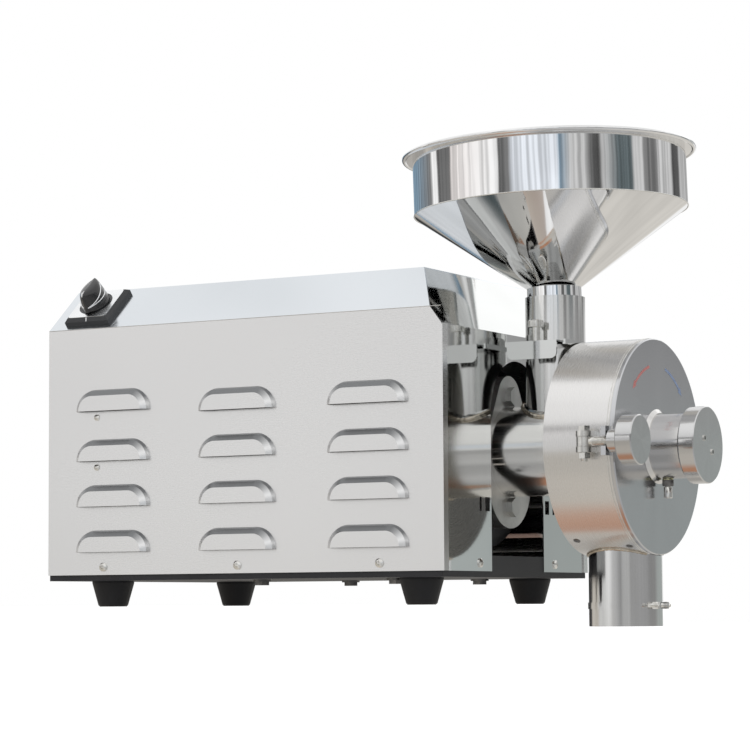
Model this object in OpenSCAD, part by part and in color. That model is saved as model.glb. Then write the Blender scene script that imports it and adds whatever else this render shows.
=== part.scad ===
// Bench grain mill: a louvred stainless casing with a motor inside, a bearing tube
// that carries the mill shaft, a round grinding drum and a feed hopper above the tube.
// +X points from the casing to the grinding drum, +Z is up, and the origin lies on the
// bench midway between the four feet.

/* [Stand] */
// Distance between the left and right feet
foot_pitch_y = 224; // [180:1:250]
// Height of a rubber foot
foot_h = 25; // [15:1:35]
// Radius of a foot at the pan
foot_top_r = 20.5; // [17:0.5:24]
// Radius of a foot at the bench
foot_sole_r = 14.5; // [12:0.5:17]
// Distance from the front feet to the end panel
foot_setback = 43.5; // [35:0.5:60]
// Distance from the rear feet to the rear panel
foot_rear_setback = 49.5; // [40:0.5:60]

/* [Casing] */
// Length of the casing
case_len = 437; // [420:1:460]
// Width over the side panels
case_w = 303; // [285:1:330]
// Height where the side panels meet the top cover
shoulder_z = 270; // [262:1:280]
// Height of the flat roof
roof_z = 313; // [305:1:325]
// Width of the flat roof
roof_w = 204; // [190:1:215]
// Height of the fold where the end panel leans back
fold_z = 254.5; // [250:0.5:258]
// Distance that the roof edge lies behind the end panel
hood_back = 44; // [38:1:50]
// Thickness of the casing sheet
sheet = 1.2; // [0.8:0.1:1.5]
// Width of the opening in the end panel
mouth_w = 110; // [100:1:124]
// Height of the top of that opening
mouth_top = 230; // [222:1:236]

/* [Louvres] */
// Length of a louvre along its open edge
louvre_w = 85; // [70:1:95]
// Height of a louvre
louvre_h = 21; // [16:1:26]
// Depth that a louvre stands out
louvre_depth = 8; // [6:0.5:10]
// Distance between louvre columns
louvre_pitch_x = 141.5; // [130:0.5:143]
// Distance between louvre rows
louvre_pitch_z = 44; // [38:0.5:47]
// Height of the open edge of the lowest row
louvre_low_z = 52.4; // [50:0.1:60]
// Columns on a side panel
louvre_cols = 3; // [2:1:3]
// Rows on a side panel
louvre_rows = 4; // [2:1:4]
// Extra height of the top rear louvre of the near panel
louvre_lift = 4.5; // [0:0.5:6]

/* [Base pan] */
// Height of the upturned rim of the pan
pan_h = 20; // [16:1:21]
// Thickness of the pan
pan_t = 2; // [1.5:0.1:2.5]
// Height of the pan rim that shows below the panels
pan_lip = 5.5; // [4:0.5:8]

/* [Motor] */
// Radius of the motor shell
motor_r = 90; // [84:1:93]
// Length of the motor shell
motor_len = 230; // [200:1:240]
// Number of cooling ribs round the shell
rib_count = 36; // [24:4:44]
// Distance from the end panel to the motor front bell
motor_back = 30; // [28:1:40]
// Distance between the motor bolts along the casing
motor_bolt_x = 147; // [130:1:160]
// Distance between the motor bolts across the casing
motor_bolt_y = 170; // [160:1:180]

/* [Mill shaft and tube] */
// Height of the mill axis above the bench
axis_z = 144; // [140:1:150]
// Outer radius of the bearing tube
tube_r = 42.7; // [40:0.1:45]
// Wall of the bearing tube
tube_wall = 3.2; // [2.5:0.1:4]
// Length of the tube in front of the end panel
tube_len = 75.8; // [74:0.1:90]
// Radius of the mill shaft
shaft_r = 12; // [10:0.5:14]
// Height of the two-bolt bearing flange
flange_h = 145; // [135:1:155]

/* [Feed] */
// Distance from the end panel to the feed tube axis
feed_x = 41.5; // [40.6:0.1:42.4]
// Outer radius of the feed tube
feed_r = 28.3; // [26:0.1:30]
// Wall of the feed tube
feed_wall = 1.5; // [1.2:0.1:2]
// Height of the top edge of the feed tube
feed_top = 288.4; // [280:0.1:292]
// Height of the upper face of the feed gate
gate_z = 243.5; // [238:0.1:248]
// Thickness of the feed gate
gate_t = 1.5; // [1:0.1:2]
// Depth of the bent lip of the gate
gate_lip = 17; // [12:0.5:20]
// Distance from the feed axis to the gate lip
gate_reach = 50; // [46:0.5:56]
// Pull that opens the gate fully
gate_travel = 52; // [30:1:54]

/* [Hopper] */
// Outer radius of the hopper wall
hopper_r = 129.7; // [120:0.1:140]
// Height of the hopper rim
hopper_top = 427.5; // [420:0.5:440]
// Height where the wall meets the cone
hopper_waist = 370.7; // [360:0.1:380]
// Height where the cone meets the neck
cone_foot = 297.5; // [296:0.1:304]
// Sheet of the hopper
hopper_t = 1.2; // [0.8:0.1:2]
// Width of the turned-out rim
rim_w = 9.9; // [6:0.1:12]
// Radius of the rolled bead of the rim
bead_r = 2.2; // [1.5:0.1:3]
// Angle that the hopper leans towards the casing in the feed tube
hopper_lean = 1.8; // [0:0.1:1.9]

/* [Grinding drum] */
// Outer radius of the drum
drum_r = 100; // [96:1:106]
// Depth of the drum and its cover
drum_len = 69.5; // [66:0.1:76]
// Wall of the drum
drum_wall = 2; // [1.5:0.1:3]
// Thickness of the back plate of the drum
drum_back = 4; // [3:0.5:6]
// Thickness of the drum cover
cover_t = 4; // [3:0.5:5]
// Outer radius of the outlet pipe
outlet_r = 34.2; // [30:0.1:34.4]
// Wall of the outlet pipe
outlet_wall = 1.5; // [1.2:0.1:2]
// Reach of the outlet pipe below the bench surface
outlet_drop = 21; // [5:1:40]

/* [Grinding discs] */
// Outer radius of the grinding discs
disc_r = 78; // [70:1:84]
// Radius of the eye of the discs
disc_eye = 34; // [33:1:38]
// Thickness of one disc
disc_t = 13; // [11:0.5:14]
// Gap between the discs at rest
disc_gap = 2; // [1.5:0.1:3]
// Grooves cut in each grinding face
groove_count = 24; // [12:2:30]
// Depth of a groove
groove_d = 2; // [1:0.1:3]

/* [Adjuster] */
// Radius of the adjuster sleeve
sleeve_r = 30; // [27:0.5:32]
// Length of the adjuster sleeve
sleeve_len = 31.4; // [30:0.1:40]
// Radius of the adjuster wheel
wheel_r = 35.4; // [33:0.1:40]
// Thickness of the adjuster wheel
wheel_t = 16; // [12:0.5:18]
// Radius of the threaded stem behind the wheel
stem_r = 18; // [16:0.5:20]

/* [Cover clamp] */
// Distance from the drum wall to the swing bolt axis
clamp_out = 10; // [9:0.5:12]
// Radius of the swing bolt
bolt_r = 4; // [3:0.1:5]
// Radius of the hand nut
hand_nut_r = 22.5; // [18:0.5:23.5]
// Thickness of the hand nut
hand_nut_t = 16; // [12:0.5:20]

/* [Switch] */
// Width of the square switch plate
switch_w = 51; // [46:1:60]
// Thickness of the switch plate
switch_t = 7; // [5:0.5:8]
// Radius of the round skirt of the switch knob
knob_r = 16.5; // [14:0.5:20]
// Height of the switch knob
knob_h = 21; // [16:1:26]
// Distance from the rear of the casing to the switch axis
switch_x = 42; // [38:0.5:60]

/* [Hidden] */

$fn = 64;
seat = 0.3;
run_fit = 0.05;
eps = 0.01;
near = -1;
far = 1;

// Casing
foot_pitch_x = case_len - foot_setback - foot_rear_setback;
end_x = foot_pitch_x / 2 + foot_setback;
rear_x = end_x - case_len;
mid_x = (end_x + rear_x) / 2;
half_w = case_w / 2;
pan_z = foot_h;
panel_z = pan_z + pan_lip;
slope_rise = roof_z - shoulder_z;
slope_run = half_w - roof_w / 2;
slope_len = sqrt(slope_rise * slope_rise + slope_run * slope_run);
slope_deg = atan2(slope_rise, slope_run);
hood_deg = atan2(roof_z - fold_z, hood_back);
tuck = 14;
side_screw_z = pan_z + 13;
side_screw_pitch = 153;
mouth_arch_z = mouth_top - mouth_w / 2;
side_return_w = 9;
hook_edge = 3.5;
hook_spans = [[0, 9], [16.5, 20.5]];
hook_z = 86;
hook_h = 13;
end_screw_y = mouth_w / 2 + 24;
screw_head_r = 4.2;
screw_head_h = 2.6;
screw_shank_r = 2;
screw_reach = 8;
clip_screw_x = rear_x + 57.5;
clip_screw_drop = 6;
clip_screw_r = 3.2;
inlet_y = half_w - 46;
inlet_z = 66;
inlet_r = 9;
foot_screw_r = 3;
foot_screw_head_r = 5.5;
foot_recess_r = 8;
foot_recess_h = 10;

// Motor
motor_front = end_x - motor_back;
bell_t = 14;
shell_front = motor_front - bell_t;
shell_rear = shell_front - motor_len;
rear_bell_back = shell_rear - bell_t;
cowl_len = 42;
rib_h = 5;
rib_w = 2.4;
shell_wall = 6;
rib_root_r = motor_r - rib_h;
bore_r = rib_root_r - shell_wall;
core_len = 110;
core_mid = (shell_front + shell_rear) / 2;
air_gap = 0.6;
rotor_r = 48;
coil_len = 24;
coil_r = bore_r - 9;
bell_boss_r = 32;
bell_ring_t = 4;
motor_bearing_r = 26;
motor_bearing_w = 12;
cowl_r = motor_r - 6;
cowl_t = 1.5;
cowl_lap = 8;
cap_r = 24;
cap_len = 95;
cap_x = rear_x + foot_rear_setback + foot_screw_head_r + 7;
cap_y = half_w - 42;
terminal_len = 90;
terminal_w = 64;
terminal_h = 40;
terminal_wall = 3;
terminal_sink = 12;
cradle_w = 36;
cradle_span = motor_bolt_y + 30;
cradle_t = 5;
web_t = 8;
web_h = 62;
motor_bolt_r = 4;
flange_front = end_x - 8;
flange_t = 16;
pad_len = flange_front - flange_t - motor_front;
top_lobe_r = 24;
foot_lobe_r = 44;
flange_bolt_in = 20;
flange_bolt_c = flange_h / 2 - flange_bolt_in;
boss_r = 47;
flange_bolt_r = 5;
flange_bore_r = 25;
pad_r = 14;
tube_in = tube_r - tube_wall;
tube_rear = flange_front;
shaft_bearing_r = tube_in - run_fit;
bearing_w = 16;

// Feed
feed_cx = end_x + feed_x;
feed_in = feed_r - feed_wall;
gate_half = feed_in - 0.9;
guide_t = 2;
guide_half = feed_r + 3;
gate_clear = 0.3;
guide_z = gate_z - gate_t - gate_clear - guide_t;
gate_knob_r = 7.2;
neck_foot = gate_z + 2;
lean_z = (feed_top + neck_foot) / 2;
neck_r = feed_in - seat - (feed_top - lean_z) * tan(hopper_lean);
bead_out = 3;
screw_flight_r = tube_in - 1.2;
flight_pitch = 30;
flight_t = 3.2;

// Drum
drum_x = end_x + tube_len;
drum_mouth = drum_x + drum_len - cover_t;
cover_front = drum_mouth + cover_t;
outlet_x = drum_x + drum_len / 2;
outlet_in = outlet_r - outlet_wall;
drum_in = drum_r - drum_wall;
mouth_land = 3;
pocket_r = 3.5;
pocket_d = 1.1;
band_t = 0.8;
band_h = 6;
band_z = -5;
band_screw_r = 1.8;
spigot_r = drum_in - 0.4;
spigot_t = 3;
spigot_len = 6;
turning_x = drum_x + drum_back + 4;
fixed_x = turning_x + disc_t + disc_gap;
hub_r = shaft_r + 7;

// Adjuster
sleeve_front = cover_front + sleeve_len;
sleeve_in = stem_r + 0.06;
wheel_gap = 2;
wheel_x = sleeve_front + wheel_gap;
sleeve_ring_r = sleeve_r + 4.5;
sleeve_ring_t = 3;
cover_hole_r = stem_r + 1;
stem_plate_t = 6;
lock_r = 3;
lock_nut = 10;
lock_x = cover_front + sleeve_ring_t + lock_nut / 2 / cos(30) + seat;

// Clamp and hinge
clamp_y = -(drum_r + clamp_out);
clamp_x = cover_front - 24;
ear_t = 5;
ear_gap = 9.2;
ear_r = 7.5;
pivot_r = 3;
lug_t = cover_t + 2;
lug_h = 26;
lug_out = 8;
nut_x = drum_mouth + lug_t + seat;
nut_hub_r = 10.5;
nut_hub_len = 13;
bolt_end = nut_x + nut_hub_len + hand_nut_t - 4;
lug_slot = 2 * bolt_r + 1.4;
knuckle_r = 6.5;
hinge_y = drum_r + knuckle_r + 1;
hinge_x = cover_front - 20;
leaf_t = 3;
hinge_pin_r = 3;

// Switch
switch_cx = rear_x + switch_x;
switch_seat = slope_len / 2;
bezel_bevel = 3;
switch_stem_r = 4;
skirt_h = 7;
leaf_r = 24;
leaf_off = 16;

// Turns a child that is drawn along +Z so that it lies along +X
module along_x(x, y = 0, z = axis_z) {
    translate([x, y, z]) rotate([0, 90, 0]) children();
}

// Ring along +X from x0 to x1
module ring_x(x0, x1, r_out, r_in, y = 0, z = axis_z) {
    difference() {
        along_x(x0, y, z) cylinder(r = r_out, h = x1 - x0);
        along_x(x0 - 1, y, z) cylinder(r = r_in, h = x1 - x0 + 2);
    }
}

// Pan-head screw: the head starts at z = 0 and the shank runs down
module pan_screw(head_r = screw_head_r, head_h = screw_head_h, shank_r = screw_shank_r, reach = screw_reach) {
    difference() {
        rotate_extrude($fn = 32) union() {
            square([head_r, head_h * 0.45]);
            intersection() {
                translate([0, head_h * 0.45]) square([head_r, head_h * 0.55]);
                translate([0, head_h - head_r * 1.6]) circle(r = head_r * 1.6);
            }
        }
        for (a = [0, 90]) translate([0, 0, head_h]) rotate([0, 0, a])
            cube([head_r * 1.1, 0.9, head_h], center = true);
    }
    translate([0, 0, -reach]) cylinder(r = shank_r, h = reach + eps, $fn = 24);
}

// Hexagon with its flats this far apart
module hex(af, h) {
    cylinder(r = af / 2 / cos(30), h = h, $fn = 6);
}

// Outline of the casing, seen along X
module case_outline(inset = 0, foot_z = panel_z) {
    slope_in = inset / tan(90 - slope_deg / 2);
    polygon([
        [-half_w + inset, foot_z],
        [-half_w + inset, shoulder_z - slope_in],
        [-roof_w / 2 + inset * tan(slope_deg / 2), roof_z - inset],
        [roof_w / 2 - inset * tan(slope_deg / 2), roof_z - inset],
        [half_w - inset, shoulder_z - slope_in],
        [half_w - inset, foot_z]
    ]);
}

// Lays an outline drawn in the YZ plane along X
module profile_x(x0, x1) {
    translate([x0, 0, 0]) rotate([90, 0, 90]) linear_extrude(height = x1 - x0) children();
}

// Everything in front of the leaning plane of the hood, moved back by gap
module hood_space(gap = 0) {
    shift = gap / sin(hood_deg);
    run = (roof_z + 40 - fold_z) / tan(hood_deg);
    translate([0, case_w, 0]) rotate([90, 0, 0]) linear_extrude(height = 2 * case_w)
        polygon([
            [end_x - shift, fold_z],
            [end_x - shift - run, roof_z + 40],
            [end_x + 60, roof_z + 40],
            [end_x + 60, fold_z - 60],
            [end_x - shift + 60 / tan(hood_deg), fold_z - 60]
        ]);
}

// Cross-section of a louvre hood: flat crown, sloped shoulder
module louvre_profile(r, depth) {
    polygon([[0, 0], [r, 0], [r - 1.5, depth * 0.5], [r - depth * 0.8, depth], [0, depth]]);
}

// Solid louvre hood, open edge along X at y = 0, standing out along +Z
module louvre_form(r, depth, w) {
    mid = w - 2 * r;
    for (s = [-1, 1]) translate([s * mid / 2, 0, 0])
        rotate([0, 0, s > 0 ? 0 : 90]) rotate_extrude(angle = 90, $fn = 48) louvre_profile(r, depth);
    translate([-mid / 2, 0, 0]) rotate([90, 0, 90]) linear_extrude(height = mid)
        louvre_profile(r, depth);
}

// Hollow louvre with its mouth cut open
module louvre_shell() {
    difference() {
        louvre_form(louvre_h, louvre_depth, louvre_w);
        translate([0, -eps, -eps])
            louvre_form(louvre_h - sheet, louvre_depth - sheet + eps, louvre_w - 2 * sheet);
    }
}

// Places children at each louvre of a panel, drawn in the plane of the panel; the top one of the
// first column sits higher by lift
module louvre_places(cols, rows, centre, low_z, lift) {
    for (c = [0 : cols - 1]) for (r = [0 : rows - 1])
        translate([centre + (c - (cols - 1) / 2) * louvre_pitch_x, low_z + r * louvre_pitch_z, 0])
            translate([0, c == 0 && r == rows - 1 ? lift : 0, 0]) children();
}

// Flat panel with louvres, drawn in XY and standing out along +Z
module louvred_sheet(cols, rows, centre, low_z = louvre_low_z, lift = 0) {
    difference() {
        linear_extrude(height = sheet) children();
        louvre_places(cols, rows, centre, low_z, lift) translate([0, 0, -1])
            linear_extrude(height = sheet + 2) louvre_hole();
    }
    louvre_places(cols, rows, centre, low_z, lift) translate([0, 0, sheet]) louvre_shell();
}

// Hole in the sheet behind a louvre
module louvre_hole() {
    r = louvre_h - sheet - 1;
    mid = louvre_w - 2 * louvre_h;
    intersection() {
        union() {
            for (s = [-1, 1]) translate([s * mid / 2, 0]) circle(r = r, $fn = 48);
            translate([-mid / 2, -r]) square([mid, 2 * r]);
        }
        translate([-louvre_w, 0]) square([2 * louvre_w, louvre_h]);
    }
}

// Outline of a side panel in XZ, with the corner cut by the hood
module side_outline() {
    corner = (shoulder_z - fold_z) / tan(hood_deg);
    polygon([
        [rear_x, panel_z],
        [end_x, panel_z],
        [end_x, fold_z],
        [end_x - corner, shoulder_z],
        [rear_x, shoulder_z]
    ]);
}

module side_holes() {
    for (i = [-1, 0, 1]) translate([mid_x + i * side_screw_pitch, side_screw_z])
        circle(r = screw_shank_r + 0.2, $fn = 24);
}

// Places for the two small screws under the top louvres, in the plane of the near panel
module clip_screw_places() {
    for (row = [2, 3]) translate([clip_screw_x, louvre_low_z + row * louvre_pitch_z - clip_screw_drop])
        translate([0, row == 3 ? louvre_lift : 0]) children();
}

// Edge of a side panel that is bent round the corner onto the end panel
module side_return() {
    translate([0, 0, panel_z]) linear_extrude(height = fold_z - sheet - panel_z) polygon([
        [end_x - 1, -half_w], [end_x + sheet, -half_w], [end_x + sheet, -half_w + side_return_w],
        [end_x, -half_w + side_return_w], [end_x, -half_w + sheet], [end_x - 1, -half_w + sheet]
    ]);
}

module near_side_panel() {
    color("gainsboro") {
        side_return();
        translate([0, -half_w + sheet, 0]) rotate([90, 0, 0])
            louvred_sheet(louvre_cols, louvre_rows, mid_x, lift = louvre_lift) difference() {
                side_outline();
                side_holes();
                clip_screw_places() circle(r = clip_screw_r / 2 + 0.2, $fn = 24);
            }
    }
}

module far_side_panel() {
    color("gainsboro") mirror([0, 1, 0]) {
        side_return();
        translate([0, -half_w + sheet, 0]) rotate([90, 0, 0])
            louvred_sheet(louvre_cols, louvre_rows, mid_x) difference() {
                side_outline();
                side_holes();
            }
    }
}

module top_cover() {
    color("lightsteelblue") difference() {
        union() {
            difference() {
                profile_x(rear_x, end_x) case_outline(0, shoulder_z);
                profile_x(rear_x - 1, end_x + 1) case_outline(sheet, shoulder_z - 40);
            }
            for (s = [near, far]) difference() {
                translate([rear_x + sheet, s * (half_w - 1.5 * sheet) - sheet / 2, shoulder_z - tuck])
                    cube([case_len - 2 * sheet, sheet, tuck + sheet / 3]);
                hood_space(sheet + seat);
            }
        }
        hood_space();
        translate([switch_cx, 0, 0]) on_slope() translate([0, 0, -20]) cylinder(r = switch_stem_r + 6, h = 40);
    }
}

// Two slots for hooks, beside the mouth of the end panel
module hook_slots() {
    for (span = hook_spans) translate([end_x - 5, mouth_w / 2 + hook_edge + span[0], hook_z])
        cube([10, span[1] - span[0], hook_h]);
}

module end_panel() {
    color("silver") {
        difference() {
            intersection() {
                profile_x(end_x - sheet, end_x) difference() {
                    case_outline(sheet, panel_z);
                    translate([-mouth_w / 2, panel_z - 1]) square([mouth_w, mouth_arch_z - panel_z + 1]);
                    translate([0, mouth_arch_z]) circle(r = mouth_w / 2);
                }
                translate([end_x - 5, -half_w, 0]) cube([10, case_w, fold_z]);
            }
            for (s = [near, far]) along_x(end_x - 5, s * end_screw_y, side_screw_z)
                cylinder(r = screw_shank_r + 0.2, h = 10, $fn = 24);
            hook_slots();
            mirror([0, 1, 0]) hook_slots();
        }
        intersection() {
            profile_x(end_x - hood_back - 10, end_x) case_outline(sheet, panel_z);
            difference() {
                hood_space(sheet);
                hood_space();
            }
            translate([0, -half_w, fold_z - sheet]) cube([end_x, case_w, roof_z]);
        }
    }
}

module rear_panel() {
    color("silver") translate([rear_x, 0, 0]) rotate([90, 0, -90]) difference() {
        translate([0, 0, -sheet])
            louvred_sheet(2, louvre_rows - 1, 0, louvre_low_z + louvre_pitch_z) case_outline(sheet, panel_z);
        translate([-inlet_y, inlet_z, -3]) cylinder(r = inlet_r, h = 6);
    }
}

module panel_screws() {
    color("lightgray") {
        for (i = [-1, 0, 1]) for (s = [near, far])
            translate([mid_x + i * side_screw_pitch, s * half_w, side_screw_z]) rotate([-s * 90, 0, 0])
                pan_screw();
        for (s = [near, far]) along_x(end_x, s * end_screw_y, side_screw_z) pan_screw();
        translate([0, -half_w, 0]) rotate([90, 0, 0]) clip_screw_places()
            pan_screw(clip_screw_r, clip_screw_r / 2, clip_screw_r / 2, 5);
    }
}

module cable_inlet() {
    color("black") {
        difference() {
            union() {
                along_x(rear_x - 16, inlet_y, inlet_z) cylinder(r1 = inlet_r - 1, r2 = inlet_r + 3, h = 12);
                along_x(rear_x - 4, inlet_y, inlet_z) hex(2 * inlet_r + 8, 4);
                along_x(rear_x - eps, inlet_y, inlet_z) cylinder(r = inlet_r, h = 14);
                along_x(rear_x + sheet, inlet_y, inlet_z) hex(2 * inlet_r + 8, 5);
            }
            along_x(rear_x - 20, inlet_y, inlet_z) cylinder(r = inlet_r - 3.5, h = 60);
        }
    }
}

module base_pan() {
    len = case_len - 2 * sheet;
    wide = case_w - 2 * sheet;
    color("dimgray") difference() {
        translate([rear_x + sheet, -wide / 2, pan_z]) cube([len, wide, pan_h]);
        translate([rear_x + sheet + pan_t, -wide / 2 + pan_t, pan_z + pan_t])
            cube([len - 2 * pan_t, wide - 2 * pan_t, pan_h]);
        foot_places() translate([0, 0, pan_z - 1]) cylinder(r = foot_screw_r + seat, h = pan_t + 2, $fn = 32);
        motor_bolt_places() translate([0, 0, pan_z - 1]) cylinder(r = motor_bolt_r + seat, h = pan_t + 2, $fn = 32);
        for (i = [-1, 0, 1]) for (s = [near, far])
            translate([mid_x + i * side_screw_pitch, s * half_w, side_screw_z]) rotate([90, 0, 0])
                translate([0, 0, -8]) cylinder(r = screw_shank_r + 0.1, h = 16, $fn = 24);
        for (s = [near, far]) along_x(end_x - 8, s * end_screw_y, side_screw_z)
            cylinder(r = screw_shank_r + 0.1, h = 16, $fn = 24);
    }
}

module foot_places() {
    for (sx = [-1, 1]) for (sy = [-1, 1])
        translate([sx * foot_pitch_x / 2, sy * foot_pitch_y / 2, 0]) children();
}

module rubber_feet() {
    color([0.08, 0.08, 0.08]) foot_places() difference() {
        rotate_extrude($fn = 48) polygon([
            [0, 0], [foot_sole_r - 1.5, 0], [foot_sole_r, 1.5],
            [foot_top_r, foot_h - 2], [foot_top_r, foot_h], [0, foot_h]
        ]);
        translate([0, 0, -1]) cylinder(r = foot_recess_r, h = foot_recess_h + 1, $fn = 32);
        cylinder(r = foot_screw_r + seat, h = foot_h + 1, $fn = 32);
    }
}

module foot_screws() {
    head_h = 5.5;
    end_out = 8;
    color("lightgray") foot_places() {
        translate([0, 0, foot_recess_h - head_h]) difference() {
            cylinder(r = foot_screw_head_r, h = head_h, $fn = 32);
            translate([0, 0, -1]) hex(5, 4);
        }
        translate([0, 0, foot_recess_h - 1])
            cylinder(r = foot_screw_r, h = foot_h + pan_t + end_out - foot_recess_h + 1, $fn = 32);
        translate([0, 0, foot_h + pan_t]) hex(10, 5);
    }
}

// Outline of the bearing flange: a round boss with a narrow lobe above and a broad one below
module flange_outline() {
    circle(r = boss_r);
    rotate([0, 0, 180]) flange_lobe(top_lobe_r);
    flange_lobe(foot_lobe_r);
}

// Lobe along +X, joined to the boss by the tangents of both circles
module flange_lobe(lobe_r) {
    lobe_c = flange_h / 2 - lobe_r;
    lean = acos((boss_r - lobe_r) / lobe_c);
    root_x = (boss_r - eps) * cos(lean);
    root_y = (boss_r - eps) * sin(lean);
    tip_x = lobe_c + (lobe_r - eps) * cos(lean);
    tip_y = (lobe_r - eps) * sin(lean);
    translate([lobe_c, 0]) circle(r = lobe_r);
    polygon([[0, -root_y], [root_x, -root_y], [tip_x, -tip_y], [tip_x, tip_y], [root_x, root_y], [0, root_y]]);
}

module bearing_flange() {
    color("gray") difference() {
        along_x(flange_front - flange_t) linear_extrude(height = flange_t) flange_outline();
        along_x(flange_front - flange_t - 1) cylinder(r = flange_bore_r, h = flange_t + 2);
        for (s = [-1, 1]) along_x(flange_front - flange_t - 1, 0, axis_z + s * flange_bolt_c)
            cylinder(r = flange_bolt_r + 0.3, h = flange_t + 2);
    }
}

module flange_bolts() {
    color("silver") for (s = [-1, 1]) {
        along_x(motor_front - 8, 0, axis_z + s * flange_bolt_c)
            cylinder(r = flange_bolt_r, h = flange_front + 5 - motor_front + 8);
        along_x(flange_front, 0, axis_z + s * flange_bolt_c) hex(16, 6);
    }
}

module motor_shell() {
    color("slategray") difference() {
        union() {
            along_x(shell_rear) cylinder(r = rib_root_r, h = motor_len, $fn = 96);
            for (i = [0 : rib_count - 1]) translate([0, 0, axis_z])
                rotate([i * 360 / rib_count, 0, 0])
                    translate([shell_rear, -rib_w / 2, rib_root_r - 1]) cube([motor_len, rib_w, rib_h + 1]);
        }
        along_x(shell_rear - 1) cylinder(r = bore_r, h = motor_len + 2, $fn = 96);
    }
}

module stator_core() {
    color("darkslategray") difference() {
        along_x(core_mid - core_len / 2) cylinder(r = bore_r, h = core_len, $fn = 96);
        along_x(core_mid - core_len / 2 - 1) cylinder(r = rotor_r + air_gap, h = core_len + 2, $fn = 96);
    }
}

module stator_coils() {
    color("peru") for (s = [-1, 1]) {
        x = core_mid + s * (core_len + coil_len) / 2;
        translate([x, 0, axis_z]) rotate([0, 90, 0]) rotate_extrude($fn = 64)
            translate([(coil_r + rotor_r + 6) / 2, 0]) difference() {
                square([coil_r - rotor_r - 6, coil_len], center = true);
                for (c = [-1, 1]) translate([c * (coil_r - rotor_r - 6) / 2, s * coil_len / 2])
                    rotate([0, 0, 45]) square([8, 8], center = true);
            }
    }
}

module motor_front_bell() {
    color("slategray") difference() {
        union() {
            along_x(shell_front) cylinder(r = motor_r, h = bell_t - bell_ring_t, $fn = 96);
            along_x(motor_front - bell_ring_t) cylinder(r = motor_r - 8, h = bell_ring_t, $fn = 96);
            along_x(motor_front - 1) cylinder(r = boss_r - 6, h = pad_len + 1);
            for (s = [-1, 1]) along_x(motor_front - 1, 0, axis_z + s * flange_bolt_c) cylinder(r = pad_r, h = pad_len + 1);
        }
        along_x(shell_front - 1) cylinder(r = motor_bearing_r, h = motor_bearing_w + 2);
        along_x(shell_front - 1) cylinder(r = shaft_r + 1.5, h = bell_t + pad_len + 2);
        for (s = [-1, 1]) along_x(motor_front - 8, 0, axis_z + s * flange_bolt_c)
            cylinder(r = flange_bolt_r, h = 9 + pad_len);
    }
}

module motor_rear_bell() {
    color("slategray") difference() {
        union() {
            along_x(rear_bell_back) cylinder(r = cowl_r - cowl_t, h = bell_t, $fn = 96);
            along_x(rear_bell_back + cowl_lap) cylinder(r = motor_r, h = bell_t - cowl_lap, $fn = 96);
            along_x(rear_bell_back - 4) cylinder(r = bell_boss_r, h = 6);
        }
        along_x(rear_bell_back - 5) cylinder(r = shaft_r + 1.5, h = bell_t + 7);
        along_x(shell_rear - motor_bearing_w - 1) cylinder(r = motor_bearing_r, h = motor_bearing_w + 2);
    }
}

module fan_cowl() {
    color("dimgray") difference() {
        along_x(rear_bell_back - cowl_len) cylinder(r = cowl_r, h = cowl_len + cowl_lap, $fn = 96);
        along_x(rear_bell_back - cowl_len + 2) cylinder(r = cowl_r - cowl_t, h = cowl_len + cowl_lap, $fn = 96);
        for (i = [0 : 11]) translate([rear_bell_back - cowl_len - 1, 0, axis_z]) rotate([i * 30, 0, 0])
            translate([0, -3, 26]) cube([5, 6, 38]);
    }
}

module motor_bolt_places() {
    for (s = [-1, 1]) for (y = [-motor_bolt_y / 2, motor_bolt_y / 2])
        translate([core_mid + s * motor_bolt_x / 2, y, 0]) children();
}

module motor_cradle() {
    pad_z = pan_z + pan_t;
    color("dimgray") difference() {
        for (s = [-1, 1]) translate([core_mid + s * motor_bolt_x / 2 - cradle_w / 2, 0, pad_z]) {
            translate([0, -cradle_span / 2, 0]) cube([cradle_w, cradle_span, cradle_t]);
            translate([(cradle_w - web_t) / 2, -cradle_span / 2 + 26, 0]) cube([web_t, cradle_span - 52, web_h]);
        }
        along_x(shell_rear - 1) cylinder(r = motor_r + run_fit, h = motor_len + 2, $fn = 96);
        motor_bolt_places() translate([0, 0, pad_z - 1]) cylinder(r = motor_bolt_r + seat, h = cradle_t + 2, $fn = 32);
    }
}

module motor_bolts() {
    color("silver") motor_bolt_places() {
        translate([0, 0, pan_z - 5.5]) hex(13, 5.5);
        translate([0, 0, pan_z - 2]) cylinder(r = 9, h = 2, $fn = 32);
        translate([0, 0, pan_z - eps]) cylinder(r = motor_bolt_r, h = pan_t + cradle_t + 10, $fn = 32);
        translate([0, 0, pan_z + pan_t + cradle_t]) hex(13, 6.5);
    }
}

module terminal_box() {
    color("dimgray") difference() {
        translate([core_mid - terminal_len / 2, -terminal_w / 2, axis_z + motor_r - terminal_sink])
            cube([terminal_len, terminal_w, terminal_h]);
        along_x(shell_rear - 1) cylinder(r = motor_r + run_fit, h = motor_len + 2, $fn = 96);
        translate([core_mid - terminal_len / 2 + terminal_wall, -terminal_w / 2 + terminal_wall,
            axis_z + motor_r + terminal_wall])
            cube([terminal_len - 2 * terminal_wall, terminal_w - 2 * terminal_wall,
                terminal_h - terminal_sink - 2 * terminal_wall]);
    }
}

module run_capacitor() {
    strap_w = 14;
    strap_t = 2;
    strap_x = cap_x + (cap_len - strap_w) / 2;
    cap_z = pan_z + pan_t + cap_r + 1;
    color("whitesmoke") {
        along_x(cap_x, cap_y, cap_z) cylinder(r = cap_r, h = cap_len);
        difference() {
            translate([strap_x, cap_y - cap_r - strap_t, pan_z + pan_t])
                cube([strap_w, 2 * (cap_r + strap_t), cap_r + 1]);
            along_x(strap_x - 1, cap_y, cap_z) cylinder(r = cap_r, h = strap_w + 2);
        }
    }
}

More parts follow.
